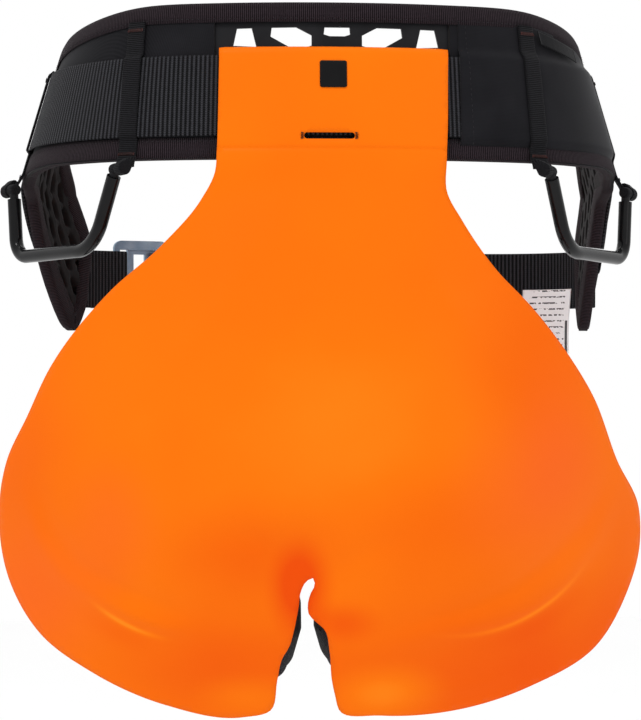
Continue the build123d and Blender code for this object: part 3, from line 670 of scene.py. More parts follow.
def bead_run(name, points, normals, length=2.4, pitch=3.6, width=0.5, height=0.3, lift=0.05):
    """Stitches lying along a line: one small rounded lozenge each."""
    points, normals = np.asarray(points, float), unit(normals)
    run = run_length(points)
    starts = np.arange(pitch / 2, run[-1] - pitch / 2, pitch)
    pick = lambda at, data: np.stack([np.interp(at, run, data[:, i]) for i in range(3)], 1)
    a, b = pick(starts - length / 2, points), pick(starts + length / 2, points)
    up = unit(pick(starts, normals))
    side = unit(np.cross(b - a, up)) * width / 2
    mid = (a + b) / 2 + up * (height + lift)
    base = up * lift
    low = [a + base, mid - up * height + side, b + base, mid - up * height - side]
    high = [(end + mid) / 2 + up * height * 0.2 for end in (a, b)]
    verts = np.stack(low + high, 1)
    shape = [(0, 1, 4), (0, 4, 3), (1, 2, 5), (1, 5, 4), (2, 3, 5), (3, 4, 5), (0, 3, 2, 1)]
    faces = [tuple(6 * i + k for k in f) for i in range(len(starts)) for f in shape]
    return piece(name, verts.reshape(-1, 3), faces, [MAT["thread"]])


def join(name, parts):
    """Joins several new pieces into one object, keeping their materials."""
    whole = parts[0]
    with bpy.context.temp_override(
        active_object=whole, object=whole, selected_objects=parts, selected_editable_objects=parts
    ):
        bpy.ops.object.join()
    whole.name = whole.data.name = name
    return whole


def point_away(ways, centres, middle):
    """The same directions, all turned over if they point towards the middle rather than away from it."""
    return -ways if np.mean(np.sum(ways * (centres - middle), 1)) < 0 else ways


# ---------------------------------------------------------------- padded belt
BACK_EDGE = {-1: -77.4, 1: 74.4}


def x_to_w(x, z=0.0):
    side = math.copysign(1, x)
    table = np.abs(hips(side * TABLE_W[:200], z)[:, 0])
    return side * float(np.interp(abs(x), table, TABLE_W[:200]))


def belt_grid(w, share, low, high, v, x_start):
    """Ring places and heights of a grid between two edges, its first column upright at x_start."""
    z = low[:, None] + (high - low)[:, None] * v
    upright = np.array([x_to_w(x_start, k) for k in z[0]]) - w[0]
    return w[:, None] + upright * np.clip(1 - share[:, None] * 3, 0, 1) ** 2, z


def slot_depth(y, z):
    """Depth, 0 to 1, of the foam's slots at side-view places: leaning columns, every other one shifted."""
    lean = math.radians(112)
    along = y * math.cos(lean) + z * math.sin(lean)
    cross = y * math.sin(lean) - z * math.cos(lean)
    column = np.round(cross / 10.5)
    local = (along + 10.0 * (column % 2) + 10.0) % 20.0 - 10.0
    away = np.hypot(np.maximum(np.abs(local) - 4.4, 0), cross - 10.5 * column)
    edge = np.minimum(top_z(y) - z, z - low_z(y))
    deep = np.where((edge > 16) & (y > 4) & (y < 93), np.clip((2.8 - away) / 1.1, 0, 1), 0)
    return ease(deep)


def hip_pad(side, name):
    """Foam pad with its outer fabric, one closed padded piece; the foam's slots show on the inside."""
    nu, nv = 200, 64
    start, tip = x_to_w(BACK_EDGE[side]), float(w_at(100.2, -100, side))
    share = np.linspace(0, 1, nu)
    w = start + (tip - start) * (0.75 * share + 0.25 * np.sin(share * math.pi / 2))
    v = np.linspace(0, 1, nv)
    ww, z = belt_grid(w, share, settle(w, low_z), settle(w, top_z), v, BACK_EDGE[side])
    puff = np.clip(np.sin(math.pi * v), 0, 1) ** 0.5
    y = hips(ww, z)[..., 1]
    slots = slot_depth(y, z)
    inner = hips(ww, z, -0.9 * puff + 4.0 * slots)
    outer = hips(ww, z, 6.2 + 0.8 * puff)
    points = np.concatenate([inner.reshape(-1, 3), outer.reshape(-1, 3)])
    faces = slab_faces(nu, nv)
    if side < 0:
        faces = [f[::-1] for f in faces]
    half = (nu - 1) * (nv - 1)
    kinds = [0] * half + [1] * half + [0] * (len(faces) - 2 * half)
    pad = piece(f"hip_pad_{name}", points, faces, [MAT["foam"], MAT["shell"]], face_mats=kinds)
    fit(pad, "foam", ROOT, f"{name}_hip_pad", f"{name}_face_panel")


U_BINDING = np.array(
    [(12.5, 7.4), (7, 7.75), (2.5, 7.75), (-0.2, 7.1), (-1.1, 5.2), (-1.25, 3.2), (-1.1, 1.1), (-0.2, -0.8),
     (2.5, -1.3), (7, -1.35), (12.5, -1.2), (12.5, -0.75), (2.5, -0.7), (0.1, 0.2), (-0.5, 3.2), (0.1, 6.2),
     (2.5, 7.1), (12.5, 6.9)]
)


def outline_run():
    """The belt's closed edge on the hips: from the left tip over the top to the right tip and back below."""
    runs = []
    for height, ends in ((top_z, (-1, 1)), (low_z, (1, -1))):
        a, b = (float(w_at(100.3, -100, s)) for s in ends)
        share = np.linspace(-1, 1, 420)
        share = np.sign(share) * (1 - (1 - np.abs(share)) ** 1.7)
        share = np.sin(share * math.pi / 2 * 0.999) * 0.35 + share * 0.65
        w = np.where(share < 0, -share * a, share * b)
        runs.append((w[:-1], settle(w, height)[:-1]))
    w, z = (np.concatenate([runs[0][i], runs[1][i]]) for i in (0, 1))
    points = hips(w, z)
    run = run_length(np.concatenate([points, points[:1]]))
    at = np.linspace(0, run[-1], 620, endpoint=False)
    w = np.interp(at, run, np.append(w, w[0]))
    z = np.interp(at, run, np.append(z, z[0]))
    for _ in range(3):
        w = (np.roll(w, 1) + w + np.roll(w, -1)) / 3
        z = (np.roll(z, 1) + z + np.roll(z, -1)) / 3
    return w, z


def belt_binding():
    """Folded tape round the belt's whole edge, stitched on both faces."""
    w, z = outline_run()
    points = hips(w, z)
    ahead = ring_ahead(points)
    _, _, normal = hip_frame(w, z)
    inward = unit(np.cross(normal, ahead))
    middle = hips(w, (settle(w, top_z) + settle(w, low_z)) / 2)
    inward = -point_away(inward, points, middle)
    bound = tube_of("belt_binding", points, inward, normal, U_BINDING, [MAT["grosgrain"]], closed=True)
    fit(bound, "grosgrain", ROOT, "belt_binding")
    for label, out, sign in (("outer", 7.75, 1), ("inner", -1.35, -1)):
        row = points + inward * 10.2 + normal * out
        row, ways = (np.concatenate([data, data[:1]]) for data in (row, normal * sign))
        seam = bead_run(f"binding_stitches_{label}", row, ways)
        fit(seam, "grosgrain", ROOT)


def waist_webbing():
    """The ribbed load webbing round the belt, and the fabric cover over its right run."""
    w = np.linspace(float(w_at(100, -110, -1)), float(w_at(100, -110, 1)), 320)
    z = settle(w, web_z)
    y = hips(w, z)[:, 1]
    slope = np.sqrt(1 + web_slope(y) ** 2)
    band = around(
        "waist_webbing", w, z, strap_section(53.5, 7.8, 10.2, 24), [MAT["webbing"]], spread_z=slope
    )
    fit(band, "webbing", ROOT, "waist_webbing")
    nu, nv = 170, 60
    start, stop = x_to_w(80), float(w_at(60, -70, 1))
    share = np.linspace(0, 1, nu)
    w = start + (stop - start) * share
    high, low = settle(w, lambda y: top_z(y) - 9.0), settle(w, lambda y: low_z(y) + 9.0)
    ww, z = belt_grid(w, share, low, high, np.linspace(0, 1, nv), 80)
    y = hips(ww, z)[..., 1]
    off = np.abs(z - web_z(y)) / np.sqrt(1 + web_slope(y) ** 2)
    lift = ease(np.clip((34.0 - off) / 8.0, 0, 1))
    sway = 0.35 * np.sin(y / 13 + z / 19) + 0.25 * np.sin(y / 7.3 - z / 11)
    edge = np.clip(np.minimum(share, 1 - share)[:, None] * 60, 0, 1)
    grow = 7.6 + 3.4 * lift + sway * 0.5 * edge
    cover = slab("webbing_cover_right", hips(ww, z, grow - 0.9), hips(ww, z, grow), [MAT["shell"]])
    fit(cover, "shell_fabric", ROOT, "right_webbing_cover")
    seam_w, seam_z = ww[4], z[4]
    _, _, normal = hip_frame(seam_w, seam_z)
    seam = bead_run("cover_stitches_edge", hips(seam_w, seam_z, grow[4]), normal)
    fit(seam, "shell_fabric", ROOT)


def bartack(name, centre, along, across, normal, length, mat=MAT["thread"], rows=9):
    """A dense zigzag bar of thread, length along one direction."""
    centre, along, across, normal = (np.asarray(v, float) for v in (centre, along, across, normal))
    share = np.linspace(-0.5, 0.5, rows * 4 + 1)
    wave = np.where(np.arange(len(share)) % 2 == 0, -1.0, 1.0)
    points = centre + np.outer(share * length, along) + np.outer(wave * 0.9, across) + normal * 0.35
    section = [(0.32 * math.cos(a), 0.32 * math.sin(a)) for a in full_turn(6)]
    ahead = unit(np.gradient(points, axis=0))
    side = unit(np.cross(normal, ahead))
    return tube_of(name, points, side, normal, section, [mat])


# angle round the belt and height of the rear and the front eye
LOOP_EYES = ((224.5, -57.0), (184.0, -64.0))
EYE_LAYER = 16.6


def ray_w(angle, z, side):
    """Ring place where a ray from the middle, at the left side's angle, meets the layer of the eyes."""
    target = math.tan(math.radians(angle - 180))
    p = hips(side * TABLE_W[:260], z, EYE_LAYER)
    slope = -p[:, 1] / np.abs(p[:, 0]).clip(1e-6)
    order = np.argsort(slope)
    return side * float(np.interp(target, slope[order], TABLE_W[:260][order]))


def upright_places(w_eye, z_eye, z):
    """Ring places, one for each height, of a line that stands upright in the belt's face."""
    foot = hips(w_eye, z_eye)
    along, _, _ = hip_frame(w_eye, z_eye)
    near = w_eye + np.linspace(-0.09, 0.09, 240)
    found = []
    for level in z:
        off = (hips(near, level) - foot) @ along
        order = np.argsort(off)
        found.append(np.interp(0.0, off[order], near[order]))
    return np.array(found)


def keepers():
    """Upright keeper straps: they hug the webbing, dip to the belt above it and end at the eyes."""
    for side, name in SIDES:
        for (angle, z_eye), end in zip(LOOP_EYES, ("rear", "front")):
            w_eye = ray_w(angle, z_eye, side)
            top = float(top_z(hips(w_eye, z_eye)[1])) - 9.5
            z = np.linspace(top, z_eye + 1, 70)
            w = upright_places(w_eye, z_eye, z)
            y = hips(w, z)[:, 1]
            off = np.abs(z - web_z(y)) / np.sqrt(1 + web_slope(y) ** 2)
            edge, slope, rise = (34.5, 8.0, 3.2) if side > 0 else (28.8, 3.0, 2.4)
            over = ease(np.clip((edge - off) / slope, 0, 1))
            reach = ease(np.clip((z_eye + 13 - z) / 12, 0, 1))
            base = np.maximum(8.0 + over * rise, 8.0 + 2.6 * reach)
            along, up, normal = hip_frame(w, z)
            centres = hips(w, z, base)
            section = strap_section(13.2, 0.0, 1.7, 8, 0.15)
            parts = [tube_of("strap", centres, along, normal, section, [MAT["webbing_narrow"]])]
            for at in (top - 6.0, z_eye + 9.0):
                k = int(np.argmin(np.abs(z - at)))
                parts.append(bartack(
                    "bar", centres[k] + normal[k] * 1.85, along[k], up[k], normal[k], 11.5,
                    MAT["bartack" if end == "rear" else "thread"],
                ))
            parts.append(eye_tube(side, end, w_eye, z_eye))
            whole = join(f"keeper_{end}_{name}_soft", parts)
            fit(whole, "webbing", ROOT, f"keeper_{end}_{name}")


def loop_ends(side):
    """The eye's centre and the direction into the gear loop, at its rear and its front."""
    rear, front = (hips(ray_w(angle, z, side), z, EYE_LAYER) for angle, z in LOOP_EYES)
    along = unit(front - rear)
    return {"rear": (rear, along), "front": (front, -along)}


def turned_roll(name, start, along, profile, aim=None, count=36):
    """A roll of webbing round an axis, from (place, radius) pairs, drawn out towards aim if given."""
    level = unit(np.cross(along, UP))
    turns = full_turn(count)
    ways = np.outer(np.cos(turns), level) + np.outer(np.sin(turns), UP)
    drawn = np.ones(count) if aim is None else 1 + 1.15 * np.clip(ways @ aim, 0, 1) ** 7
    rows = [start + along * x + ways * (r * drawn)[:, None] for x, r in profile]
    faces = list(quads(len(rows), count, False, True)) + caps(len(rows), count)
    uvs = uv_grid(turns * 5.4, np.array(profile)[:, :1])
    made = piece(name, np.concatenate(rows), faces, [MAT["webbing_narrow"]], uvs)
    face_outwards(made)
    return made


def eye_tube(side, end, w_eye, z_eye):
    """The rolled end of a keeper strap, wrapped round the gear loop's pin."""
    centre, inward = loop_ends(side)[end]
    profile = [(-5.2, 1.0), (-5.2, 3.8), (-4.7, 4.5), (-4.0, 4.7), (1.8, 4.7), (2.4, 4.5), (2.4, 1.0)]
    _, up, normal = hip_frame(w_eye, z_eye)
    return turned_roll("eye", centre, inward, profile, unit(0.8 * up - 0.6 * normal))


def loop_wraps():
    """The webbing rolled round each end of a gear loop, between the keeper's eye and the tube."""
    profile = [(2.7, 1.0), (2.7, 3.7), (3.2, 4.0), (8.2, 4.0), (9.6, 3.8), (10.4, 3.1), (10.8, 1.8)]
    for side, name in SIDES:
        for end, (centre, inward) in loop_ends(side).items():
            wrap = turned_roll(f"gear_loop_wrap_{end}_{name}", centre, inward, profile)
            fit(wrap, "webbing", f"gear_loop_{name}")


def labels():
    """A blank woven label sewn along the belt, and a sheet of printed instructions inside the right wing."""
    w = np.linspace(x_to_w(134, 30), x_to_w(158, 30), 40)
    z = np.linspace(34.0, 25.5, 40)
    woven = around("woven_label_blank", w, z, strap_section(9, 10.3, 11.1, 10), [MAT["label_black"]])
    fit(woven, "label_black", ROOT, "woven_label")
    _, _, normal = hip_frame(w, z)
    for edge, label in ((-3.9, "low"), (3.9, "high")):
        row = hips(w, z + edge, 11.1)
        seam = bead_run(f"label_stitches_{label}", row, normal, 1.5, 2.3, 0.35, 0.2)
        fit(seam, "label_black", ROOT)
    nu, nv = 40, 50
    s, t = np.meshgrid(np.linspace(0, 1, nu), np.linspace(0, 1, nv), indexing="ij")
    y = 104 + 38 * s
    z = -128 - 49 * t
    w = w_at(y[:, 0], -150, 1)[:, None] * np.ones((1, nv))
    curl = 1.2 * np.sin(t * 2.6 + s * 1.8) + 3.5 * t**3 * s
    points = np.concatenate([hips(w, z, layer - curl).reshape(-1, 3) for layer in (-1.0, -1.5)])
    uv = np.stack([s * 49, t * 49], -1).reshape(-1, 2)
    uvs = np.concatenate([uv, uv])
    sheet = piece("instruction_label_sheet", points, slab_faces(nu, nv), [MAT["label"]], uvs)
    fit(sheet, "label_white", ROOT, "instruction_label")


# ---------------------------------------------------------------- seat protector
# height, depth of the middle, and how far the sheet has come forward 200 mm to the side
SEAT_LEVELS = np.array([
    (-60.8, -157.8, 70), (-120, -168, 81), (-180, -177, 89), (-240, -180, 92), (-310, -170, 88),
    (-360, -156, 80), (-425, -130, 70),
])
# outline of the flat sheet, right side downwards to the top of the notch, then left side upwards
SEAT_RIGHT = [
    (72, -72), (82, -91), (103, -121), (131, -149), (155, -178), (174, -206), (194, -250), (213, -282),
    (215, -307), (203, -344), (182, -375), (134, -400), (82, -414), (30, -416), (3, -412), (0, -402),
    (-2.5, -391), (-4.5, -371), (-8, -357), (-14, -351.5), (-18.2, -347), (-19, -340), (-17.3, -333),
    (-14.6, -327), (-16, -322.8),
]
SEAT_LEFT = [
    (-16, -322.8), (-20, -324.6), (-23.2, -330), (-25.2, -343), (-27.5, -356), (-31, -369),
    (-35, -376), (-38, -391), (-42, -412), (-60, -417), (-110, -410), (-159, -390), (-194, -366),
    (-216, -330), (-223, -290), (-217, -249), (-203, -220), (-187, -187), (-148, -138), (-113, -107),
    (-88, -78),
]
# the fold over the belt: height where it starts, distance of its centre outside the hips, and radius
FOLD_Z, FOLD_G, FOLD_R = 18.0, 8.4, 3.6
SLOT_AT = (-5, -36.6)
WELD_Z = -44.4
# place, size and height of each lobe or hollow
SEAT_LOBES = [
    (-105, -275, 62, 75, 5.5), (95, -285, 62, 75, 5.0), (-15, -318, 26, 60, -7.0), (-12, -200, 60, 60, -3.6),
]
# height, width and line of each ridge or groove
SEAT_RIDGES = [
    (2.2, 7.0, [(-205, -268), (-196, -300), (-178, -326), (-150, -341), (-118, -353), (-92, -357)]),
    (-1.8, 6.5, [(-198, -262), (-186, -294), (-168, -318), (-142, -331), (-112, -342), (-88, -346)]),
    (2.0, 7.0, [(28, -368), (54, -362), (88, -354), (120, -343), (150, -325), (178, -300), (196, -268)]),
    (-1.6, 6.5, [(30, -357), (56, -351), (88, -343), (118, -331), (144, -313), (168, -290), (186, -262)]),
    (1.5, 3.4, [(-150, -338), (-134, -349), (-112, -356), (-92, -358)]),
    (1.5, 3.4, [(84, -357), (104, -356), (130, -346), (156, -330), (176, -308)]),
    (0.8, 9.0, [(-52, -100), (-72, -140), (-104, -180), (-140, -214)]),
    (0.8, 9.0, [(48, -100), (70, -140), (104, -184), (138, -222)]),
    (-0.9, 7.0, [(-20, -322), (-46, -300), (-80, -288)]),
    (-0.9, 7.0, [(-12, -326), (16, -306), (46, -296)]),
    (0.6, 4.0, [(8, -404), (52, -402), (96, -398), (130, -388)]),
]


def smooth_at(places, values, at):
    """A cubic through values at rising places; values may have several columns."""
    slope = np.gradient(values, places, axis=0)
    k = np.clip(np.searchsorted(places, at, "right") - 1, 0, len(places) - 2)
    h = places[k + 1] - places[k]
    t = (at - places[k]) / h
    if values.ndim > 1:
        h, t = h[:, None], t[:, None]
    start, stop = 2 * t**3 - 3 * t**2 + 1, 3 * t**2 - 2 * t**3
    ends = values[k] * start + slope[k] * h * (t**3 - 2 * t**2 + t)
    return ends + values[k + 1] * stop + slope[k + 1] * h * (t**3 - t**2)


def spline_through(points, step=3.5):
    """A smooth curve through points, sampled evenly."""
    points = np.array(points, float)
    run = run_length(points)
    return smooth_at(run, points, np.linspace(0, run[-1], max(int(run[-1] / step), 4)))


def seat_level(z, column):
    """One column of SEAT_LEVELS at any height."""
    heights = SEAT_LEVELS[::-1, 0]
    return smooth_at(heights, SEAT_LEVELS[::-1, column], np.clip(z, heights[0], heights[-1]))


def seat_depth(x, z):
    """The seat's middle surface below the neck, before its dents."""
    middle, forward = seat_level(z, 1), seat_level(z, 2)
    reach = 235.0
    lift = forward * (reach / 200) ** 2
    radius = (reach**2 + lift**2) / (2 * lift)
    return middle + radius - np.sqrt(np.maximum(radius**2 - x**2, 1))


def neck_depth(x, z, grow):
    """Depth of the belt's back arc at a place across it, grown outwards."""
    a, b = hip_size(z)
    return -b + 1.95 * a - np.sqrt((1.95 * a + grow) ** 2 - x**2)


def ridge(x, z, line_points, width):
    """1 on a polyline, falling off across the width."""
    best = np.full(np.shape(x), 1e9)
    fade = np.zeros(np.shape(x))
    points = np.array(line_points, float)
    total = run_length(points)
    for k, (p, q) in enumerate(zip(points, points[1:])):
        d = q - p
        t = np.clip(((x - p[0]) * d[0] + (z - p[1]) * d[1]) / (d @ d), 0, 1)
        away = np.hypot(x - p[0] - t * d[0], z - p[1] - t * d[1])
        place = (total[k] + t * math.sqrt(d @ d)) / total[-1]
        nearer = away < best
        best = np.where(nearer, away, best)
        fade = np.where(nearer, np.sin(np.clip(place, 0.02, 0.98) * math.pi) ** 0.7, fade)
    return np.exp(-((best / width) ** 2)) * fade


def seat_shape(x, z):
    """How far the sheet stands out behind its plain surface, from the way it is pressed and creased."""
    out = 1.1 * np.sin(x / 47 + 0.8) * np.sin(z / 61 + 0.4) + 0.5 * np.sin(x / 23 - z / 31)
    for cx, cz, wide, high, lift in SEAT_LOBES:
        out += lift * np.exp(-(((x - cx) / wide) ** 2 + ((z - cz) / high) ** 2))
    for lift, width, line_points in SEAT_RIDGES:
        out += lift * ridge(x, z, line_points, width)
    return out


def seat_points(x, v, out):
    """Flat sheet coordinates, x across and v up, to space; out is away from the wearer."""
    turn = np.clip((v - FOLD_Z) / FOLD_R, 0, math.pi)
    inside = np.maximum(v - FOLD_Z - math.pi * FOLD_R, 0)
    z = np.minimum(v, FOLD_Z) + (FOLD_R + out) * np.sin(turn) - inside
    grow = FOLD_G + (FOLD_R + out) * np.cos(turn)
    weld = np.exp(-((v - WELD_Z) ** 2)) * (np.abs(x + 3) < 76)
    pocket = np.clip((v + 44) / 6, 0, 1) * np.clip((FOLD_Z - v) / 8, 0, 1)
    puff = 0.5 * pocket * (1 - (np.clip(np.abs(x + 3) / 75, 0, 1)) ** 4) + 0.25 * np.sin(x / 17 + 1) * pocket
    neck = neck_depth(x, z, np.where(v < FOLD_Z, 12.0 + out + puff - 0.9 * weld, grow))
    low = seat_depth(x, z) - seat_shape(x, z) * np.clip((-62 - z) / 45, 0, 1) - out
    share = ease(np.clip((-46 - z) / 34, 0, 1))
    return np.stack([x, neck * (1 - share) + low * share, z], -1)


def seat_outline():
    right = [(74, 60), (74, 40), (74, 20), (73.6, 0), (73, -30), (72, -52), *SEAT_RIGHT]
    left = [*SEAT_LEFT, (-79, -60), (-77.8, -46), (-77, -25), (-76.4, 0), (-76, 20), (-76, 40), (-76, 60)]
    top = [(x, 60) for x in np.linspace(-76, 74, 42)[1:-1]]
    return np.concatenate([spline_through(right)[:-1], spline_through(left), top])


def slotted(length, height, count=36):
    """Outline of a round-ended slot at the bar's place."""
    cx, cz = SLOT_AT
    turn = full_turn(count)
    shift = np.where(np.cos(turn) > 0, 1, -1) * (length - height) / 2
    return np.stack([cx + shift + height / 2 * np.cos(turn), cz + height / 2 * np.sin(turn)], 1)


def inside_of(points, loop):
    """Which flat points lie inside a closed loop, by counting crossings."""
    x, z = points[:, 0], points[:, 1]
    hit = np.zeros(len(points), bool)
    for (x0, z0), (x1, z1) in zip(loop, np.roll(loop, -1, 0)):
        cross = (z0 > z) != (z1 > z)
        at = (x1 - x0) * (z - z0) / (z1 - z0 if z1 != z0 else 1e-9) + x0
        hit ^= cross & (x < at)
    return hit


def flat_sheet():
    """Points and faces of a flat mesh over the seat's outline, less the slot, and its border edges."""
    outline, slot, ring = seat_outline(), slotted(33, 4.2), slotted(37, 8.2, 40)
    step = 4.0
    xs = np.arange(-228, 220, step)
    zs = np.arange(-420, 62, step * 0.92)
    grid = np.array([(x + (step / 2 if k % 2 else 0), z) for k, z in enumerate(zs) for x in xs])
    fold = np.array([(x, z) for z in np.arange(15.6, 33, 1.3) for x in np.arange(-76, 71, 3.5)])
    weld = np.array([(x, WELD_Z + k) for k in (-2, -1, 0, 1, 2) for x in np.arange(-76, 70, 3.0)])
    grid = grid[~((grid[:, 1] > 14.5) & (grid[:, 1] < 34)) & ~(np.abs(grid[:, 1] - WELD_Z) < 3.2)]
    grid = np.concatenate([grid, fold, weld])
    grid = grid[inside_of(grid, outline) & ~inside_of(grid, slotted(42, 12))]
    grid = np.array([p for p in grid if np.min(np.hypot(*(outline - p).T)) > 1.9])
    flat = np.concatenate([outline, slot, ring, grid])
    n, m = len(outline), len(slot)
    edges = [(i, (i + 1) % n) for i in range(n)] + [(n + i, n + (i + 1) % m) for i in range(m)]
    points, _, faces, _, _, _ = delaunay_2d_cdt([Vector(p) for p in flat], edges, [], 0, 0.01)
    flat = np.array([tuple(p) for p in points])
    middle = np.array([flat[list(f)].mean(0) for f in faces])
    good = inside_of(middle, outline) & ~inside_of(middle, slot)
    faces = [tuple(f) for f, ok in zip(faces, good) if ok]
    used = sorted({i for f in faces for i in f})
    index = {old: new for new, old in enumerate(used)}
    faces = [tuple(index[i] for i in f) for f in faces]
    border = {}
    for f in faces:
        for a, b in zip(f, f[1:] + f[:1]):
            if not border.pop((b, a), False):
                border[(a, b)] = True
    return flat[used], faces, list(border)


def seat_protector():
    """One closed sheet: the flat mesh given its thickness, folded over the belt and hung."""
    flat, faces, walls = flat_sheet()
    count = len(flat)
    x, v = flat.T
    back, front = (seat_points(x, v, np.full(count, layer)) for layer in (0.75, -0.75))
    rim = sorted({i for wall in walls for i in wall})
    edge_of = {i: 2 * count + k for k, i in enumerate(rim)}
    centre = (back[rim] + front[rim]) / 2
    solid = faces + [tuple(i + count for i in f[::-1]) for f in faces]
    for a, b in walls:
        solid.append((b, a, edge_of[a], edge_of[b]))
        solid.append((edge_of[b], edge_of[a], a + count, b + count))
    points = np.concatenate([back, front, centre])
    seat = piece("seat_protector", points, solid, [MAT["orange"]], points[:, [0, 2]])
    face_outwards(seat)
    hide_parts("seat_sleeve", "seat_panel")
    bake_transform(seat)


def rounded_patch(width, height, radius, nu=26, nv=16):
    """Grid positions filling a rectangle with rounded corners."""
    s, t = np.meshgrid(np.linspace(-1, 1, nu), np.linspace(-1, 1, nv), indexing="ij")
    x = s * width / 2
    cut = np.maximum(np.abs(x) - (width / 2 - radius), 0)
    lower = radius - np.sqrt(np.maximum(radius**2 - cut**2, 0))
    return x, t * (height / 2 - lower)


def seat_extras():
    """The blank badge, the grip patches on the seat's inner side and the bars sewn beside the slot."""
    x, z = rounded_patch(17.6, 17.6, 0.8, 18, 18)
    x, z = x - 2.2, z + 3.8
    face = 1.55 - 0.25 * (np.abs(x + 2.2) > 8.2)
    low, high = (seat_points(x, z, layer) for layer in (np.full(x.shape, 0.95), face))
    badge = slab("seat_badge_print", low, high, [MAT["badge"]])
    fit(badge, "badge_print", ROOT, "seat_badge")
    for side, name in SIDES:
        x, z = rounded_patch(70, 26, 4)
        x, z = x + MIDDLE_X + side * 92, z - 374
        low, high = (seat_points(x, z, np.full(x.shape, layer)) for layer in (-0.8, -1.9))
        grip = slab(f"seat_grip_patch_{name}", low, high, [MAT["grip"]])
        fit(grip, "grip_tape", "seat", f"seat_grip_{name}")
    for x, name in ((-22.6, "left"), (12.6, "right")):
        at = seat_points(np.array(x), np.array(SLOT_AT[1]), np.array(0.8))
        tack = bartack(f"slot_bartack_{name}", at, UP, ACROSS, (0, -1, 0), 4.0, rows=4)
        fit(tack, "webbing", ROOT)


# ---------------------------------------------------------------- front straps and attachment
STRAP_Z = -121.0
B_TURN = math.radians(22)


def buckle_frame():
    """Origin, inward-to-front direction and outward normal of the waist buckle."""
    _, (centre, radius), *_ = quarter(*hip_size(STRAP_Z))
    s, c = math.sin(B_TURN), math.cos(B_TURN)
    origin = np.array([-centre[0] - radius * s, centre[1] + radius * c, STRAP_Z])
    return origin, np.array([c, s, 0.0]), np.array([-s, c, 0.0])


def across_front(t, grow):
    """Points of the level line at the front straps' height, t running left 0 to 1 and right 1 to 2."""
    t, grow = np.broadcast_arrays(np.asarray(t, float), np.asarray(grow, float))
    w = np.where(t <= 1, -t, 2 - t)
    return hips(w, np.full(t.shape, STRAP_Z), grow)


def t_at_local(x):
    """Place on the front line that lies x millimetres ahead of the buckle's origin."""
    origin, ahead, _ = buckle_frame()
    t = np.linspace(0.55, 1.2, 900)
    local = (across_front(t, 14.0) - origin) @ ahead
    first = int(np.argmax(local))
    return float(np.interp(x, local[: first + 1], t[: first + 1]))


def path_strap(name, centres, width, thick, mat, crown=0.1):
    """A flat strap standing upright along a path in plan."""
    normal = unit(np.cross(unit(np.gradient(centres, axis=0)), UP))
    section = strap_section(width, -thick / 2, thick / 2, 14, crown)
    return tube_of(name, centres, UP, normal, section, [mat])


def even(points, step):
    run = run_length(points)
    at = np.linspace(0, run[-1], max(int(run[-1] / step), 4))
    return np.stack([np.interp(at, run, points[:, i]) for i in range(3)], 1)


def hairpin_path(t_start, t_bar, t_tail, sign):
    """Along the belt to the buckle's bar, round it and back over itself to the tail's end."""
    low, high = 11.6, 20.4
    lead = across_front(np.linspace(t_start, t_bar, 160), low)
    turn = np.linspace(-math.pi / 2, math.pi / 2, 16)[1:-1]
    per_mm = abs(t_at_local(-10) - t_at_local(-14)) / 4
    reach = sign * per_mm * 3.4 * np.cos(turn)
    bend = across_front(t_bar + reach, (low + high) / 2 + (high - low) / 2 * np.sin(turn))
    back = across_front(np.linspace(t_bar, t_tail, 90), high)
    return even(np.concatenate([lead, bend, back]), 1.8)


def front_straps():
    """The two straps that meet at the waist buckle, and the elastic keeper round the tail."""
    bar = 12.4 + 3.4
    start_left = -float(w_at(90, STRAP_Z, -1))
    start_right = 2 - float(w_at(90, STRAP_Z, 1))
    for name, node_name, start, turn_at, tail, sign in (
        ("buckle_strap_left", "buckle_strap", start_left, -bar, -39, 1),
        ("front_strap_right", "front_strap", start_right, bar, 69.5, -1),
    ):
        path = hairpin_path(start, t_at_local(turn_at), t_at_local(tail), sign)
        fit(path_strap(name, path, 43.4, 2.0, MAT["webbing"]), "webbing", ROOT, node_name)
    t = np.array([t_at_local(53), t_at_local(64)])
    c, s = np.cos(full_turn(48)), np.sin(full_turn(48))
    tall = np.sign(c) * np.abs(c) ** 0.25 * 23.2
    deep = 15.8 + np.sign(s) * np.abs(s) ** 0.35 * 6.6
    mid = t.mean()
    centres = hips(np.full(48, -mid if mid <= 1 else 2 - mid), STRAP_Z + tall, deep)
    ends = across_front(t, 15.8)
    along = unit(ends[1] - ends[0])
    outward = unit(centres - centres.mean(0))
    normal = unit(outward - np.outer(outward @ along, along))
    section = strap_section(11.5, -0.6, 0.6, 8)
    loop = tube_of("belt_tail_keeper_elastic", centres, along, normal, section, [MAT["elastic"]], True)
    fit(loop, "elastic", ROOT, "belt_tail_keeper")


TIE_Y, TIE_Z = 182.0, -122.0
BRIDGE_Y, BRIDGE_Z = 166.0, -242.0


def tie_in_handle():
    foot = hip_size(TIE_Z)[1] + 12.7 + 0.3 + 2.3
    path = [(-40, foot), (-24, foot), (-22, TIE_Y), (22, TIE_Y), (24, foot), (40, foot)]
    line_points = smooth_line([(x + MIDDLE_X, y) for x, y in path], 4, 0.8)
    centres = np.column_stack([line_points, np.full(len(line_points), TIE_Z)])
    parts = [path_strap("handle", even(centres, 1.4), 24, 4.0, MAT["webbing"], 0.2)]
    for x in (-45, -41, 21, 25):
        parts.append(bartack("bar", (x, foot + 2.2, TIE_Z), UP, ACROSS, (0, 1, 0), 19, rows=12))
    fit(join("tie_in_handle_sewn", parts), "webbing", ROOT, "tie_in_loop")


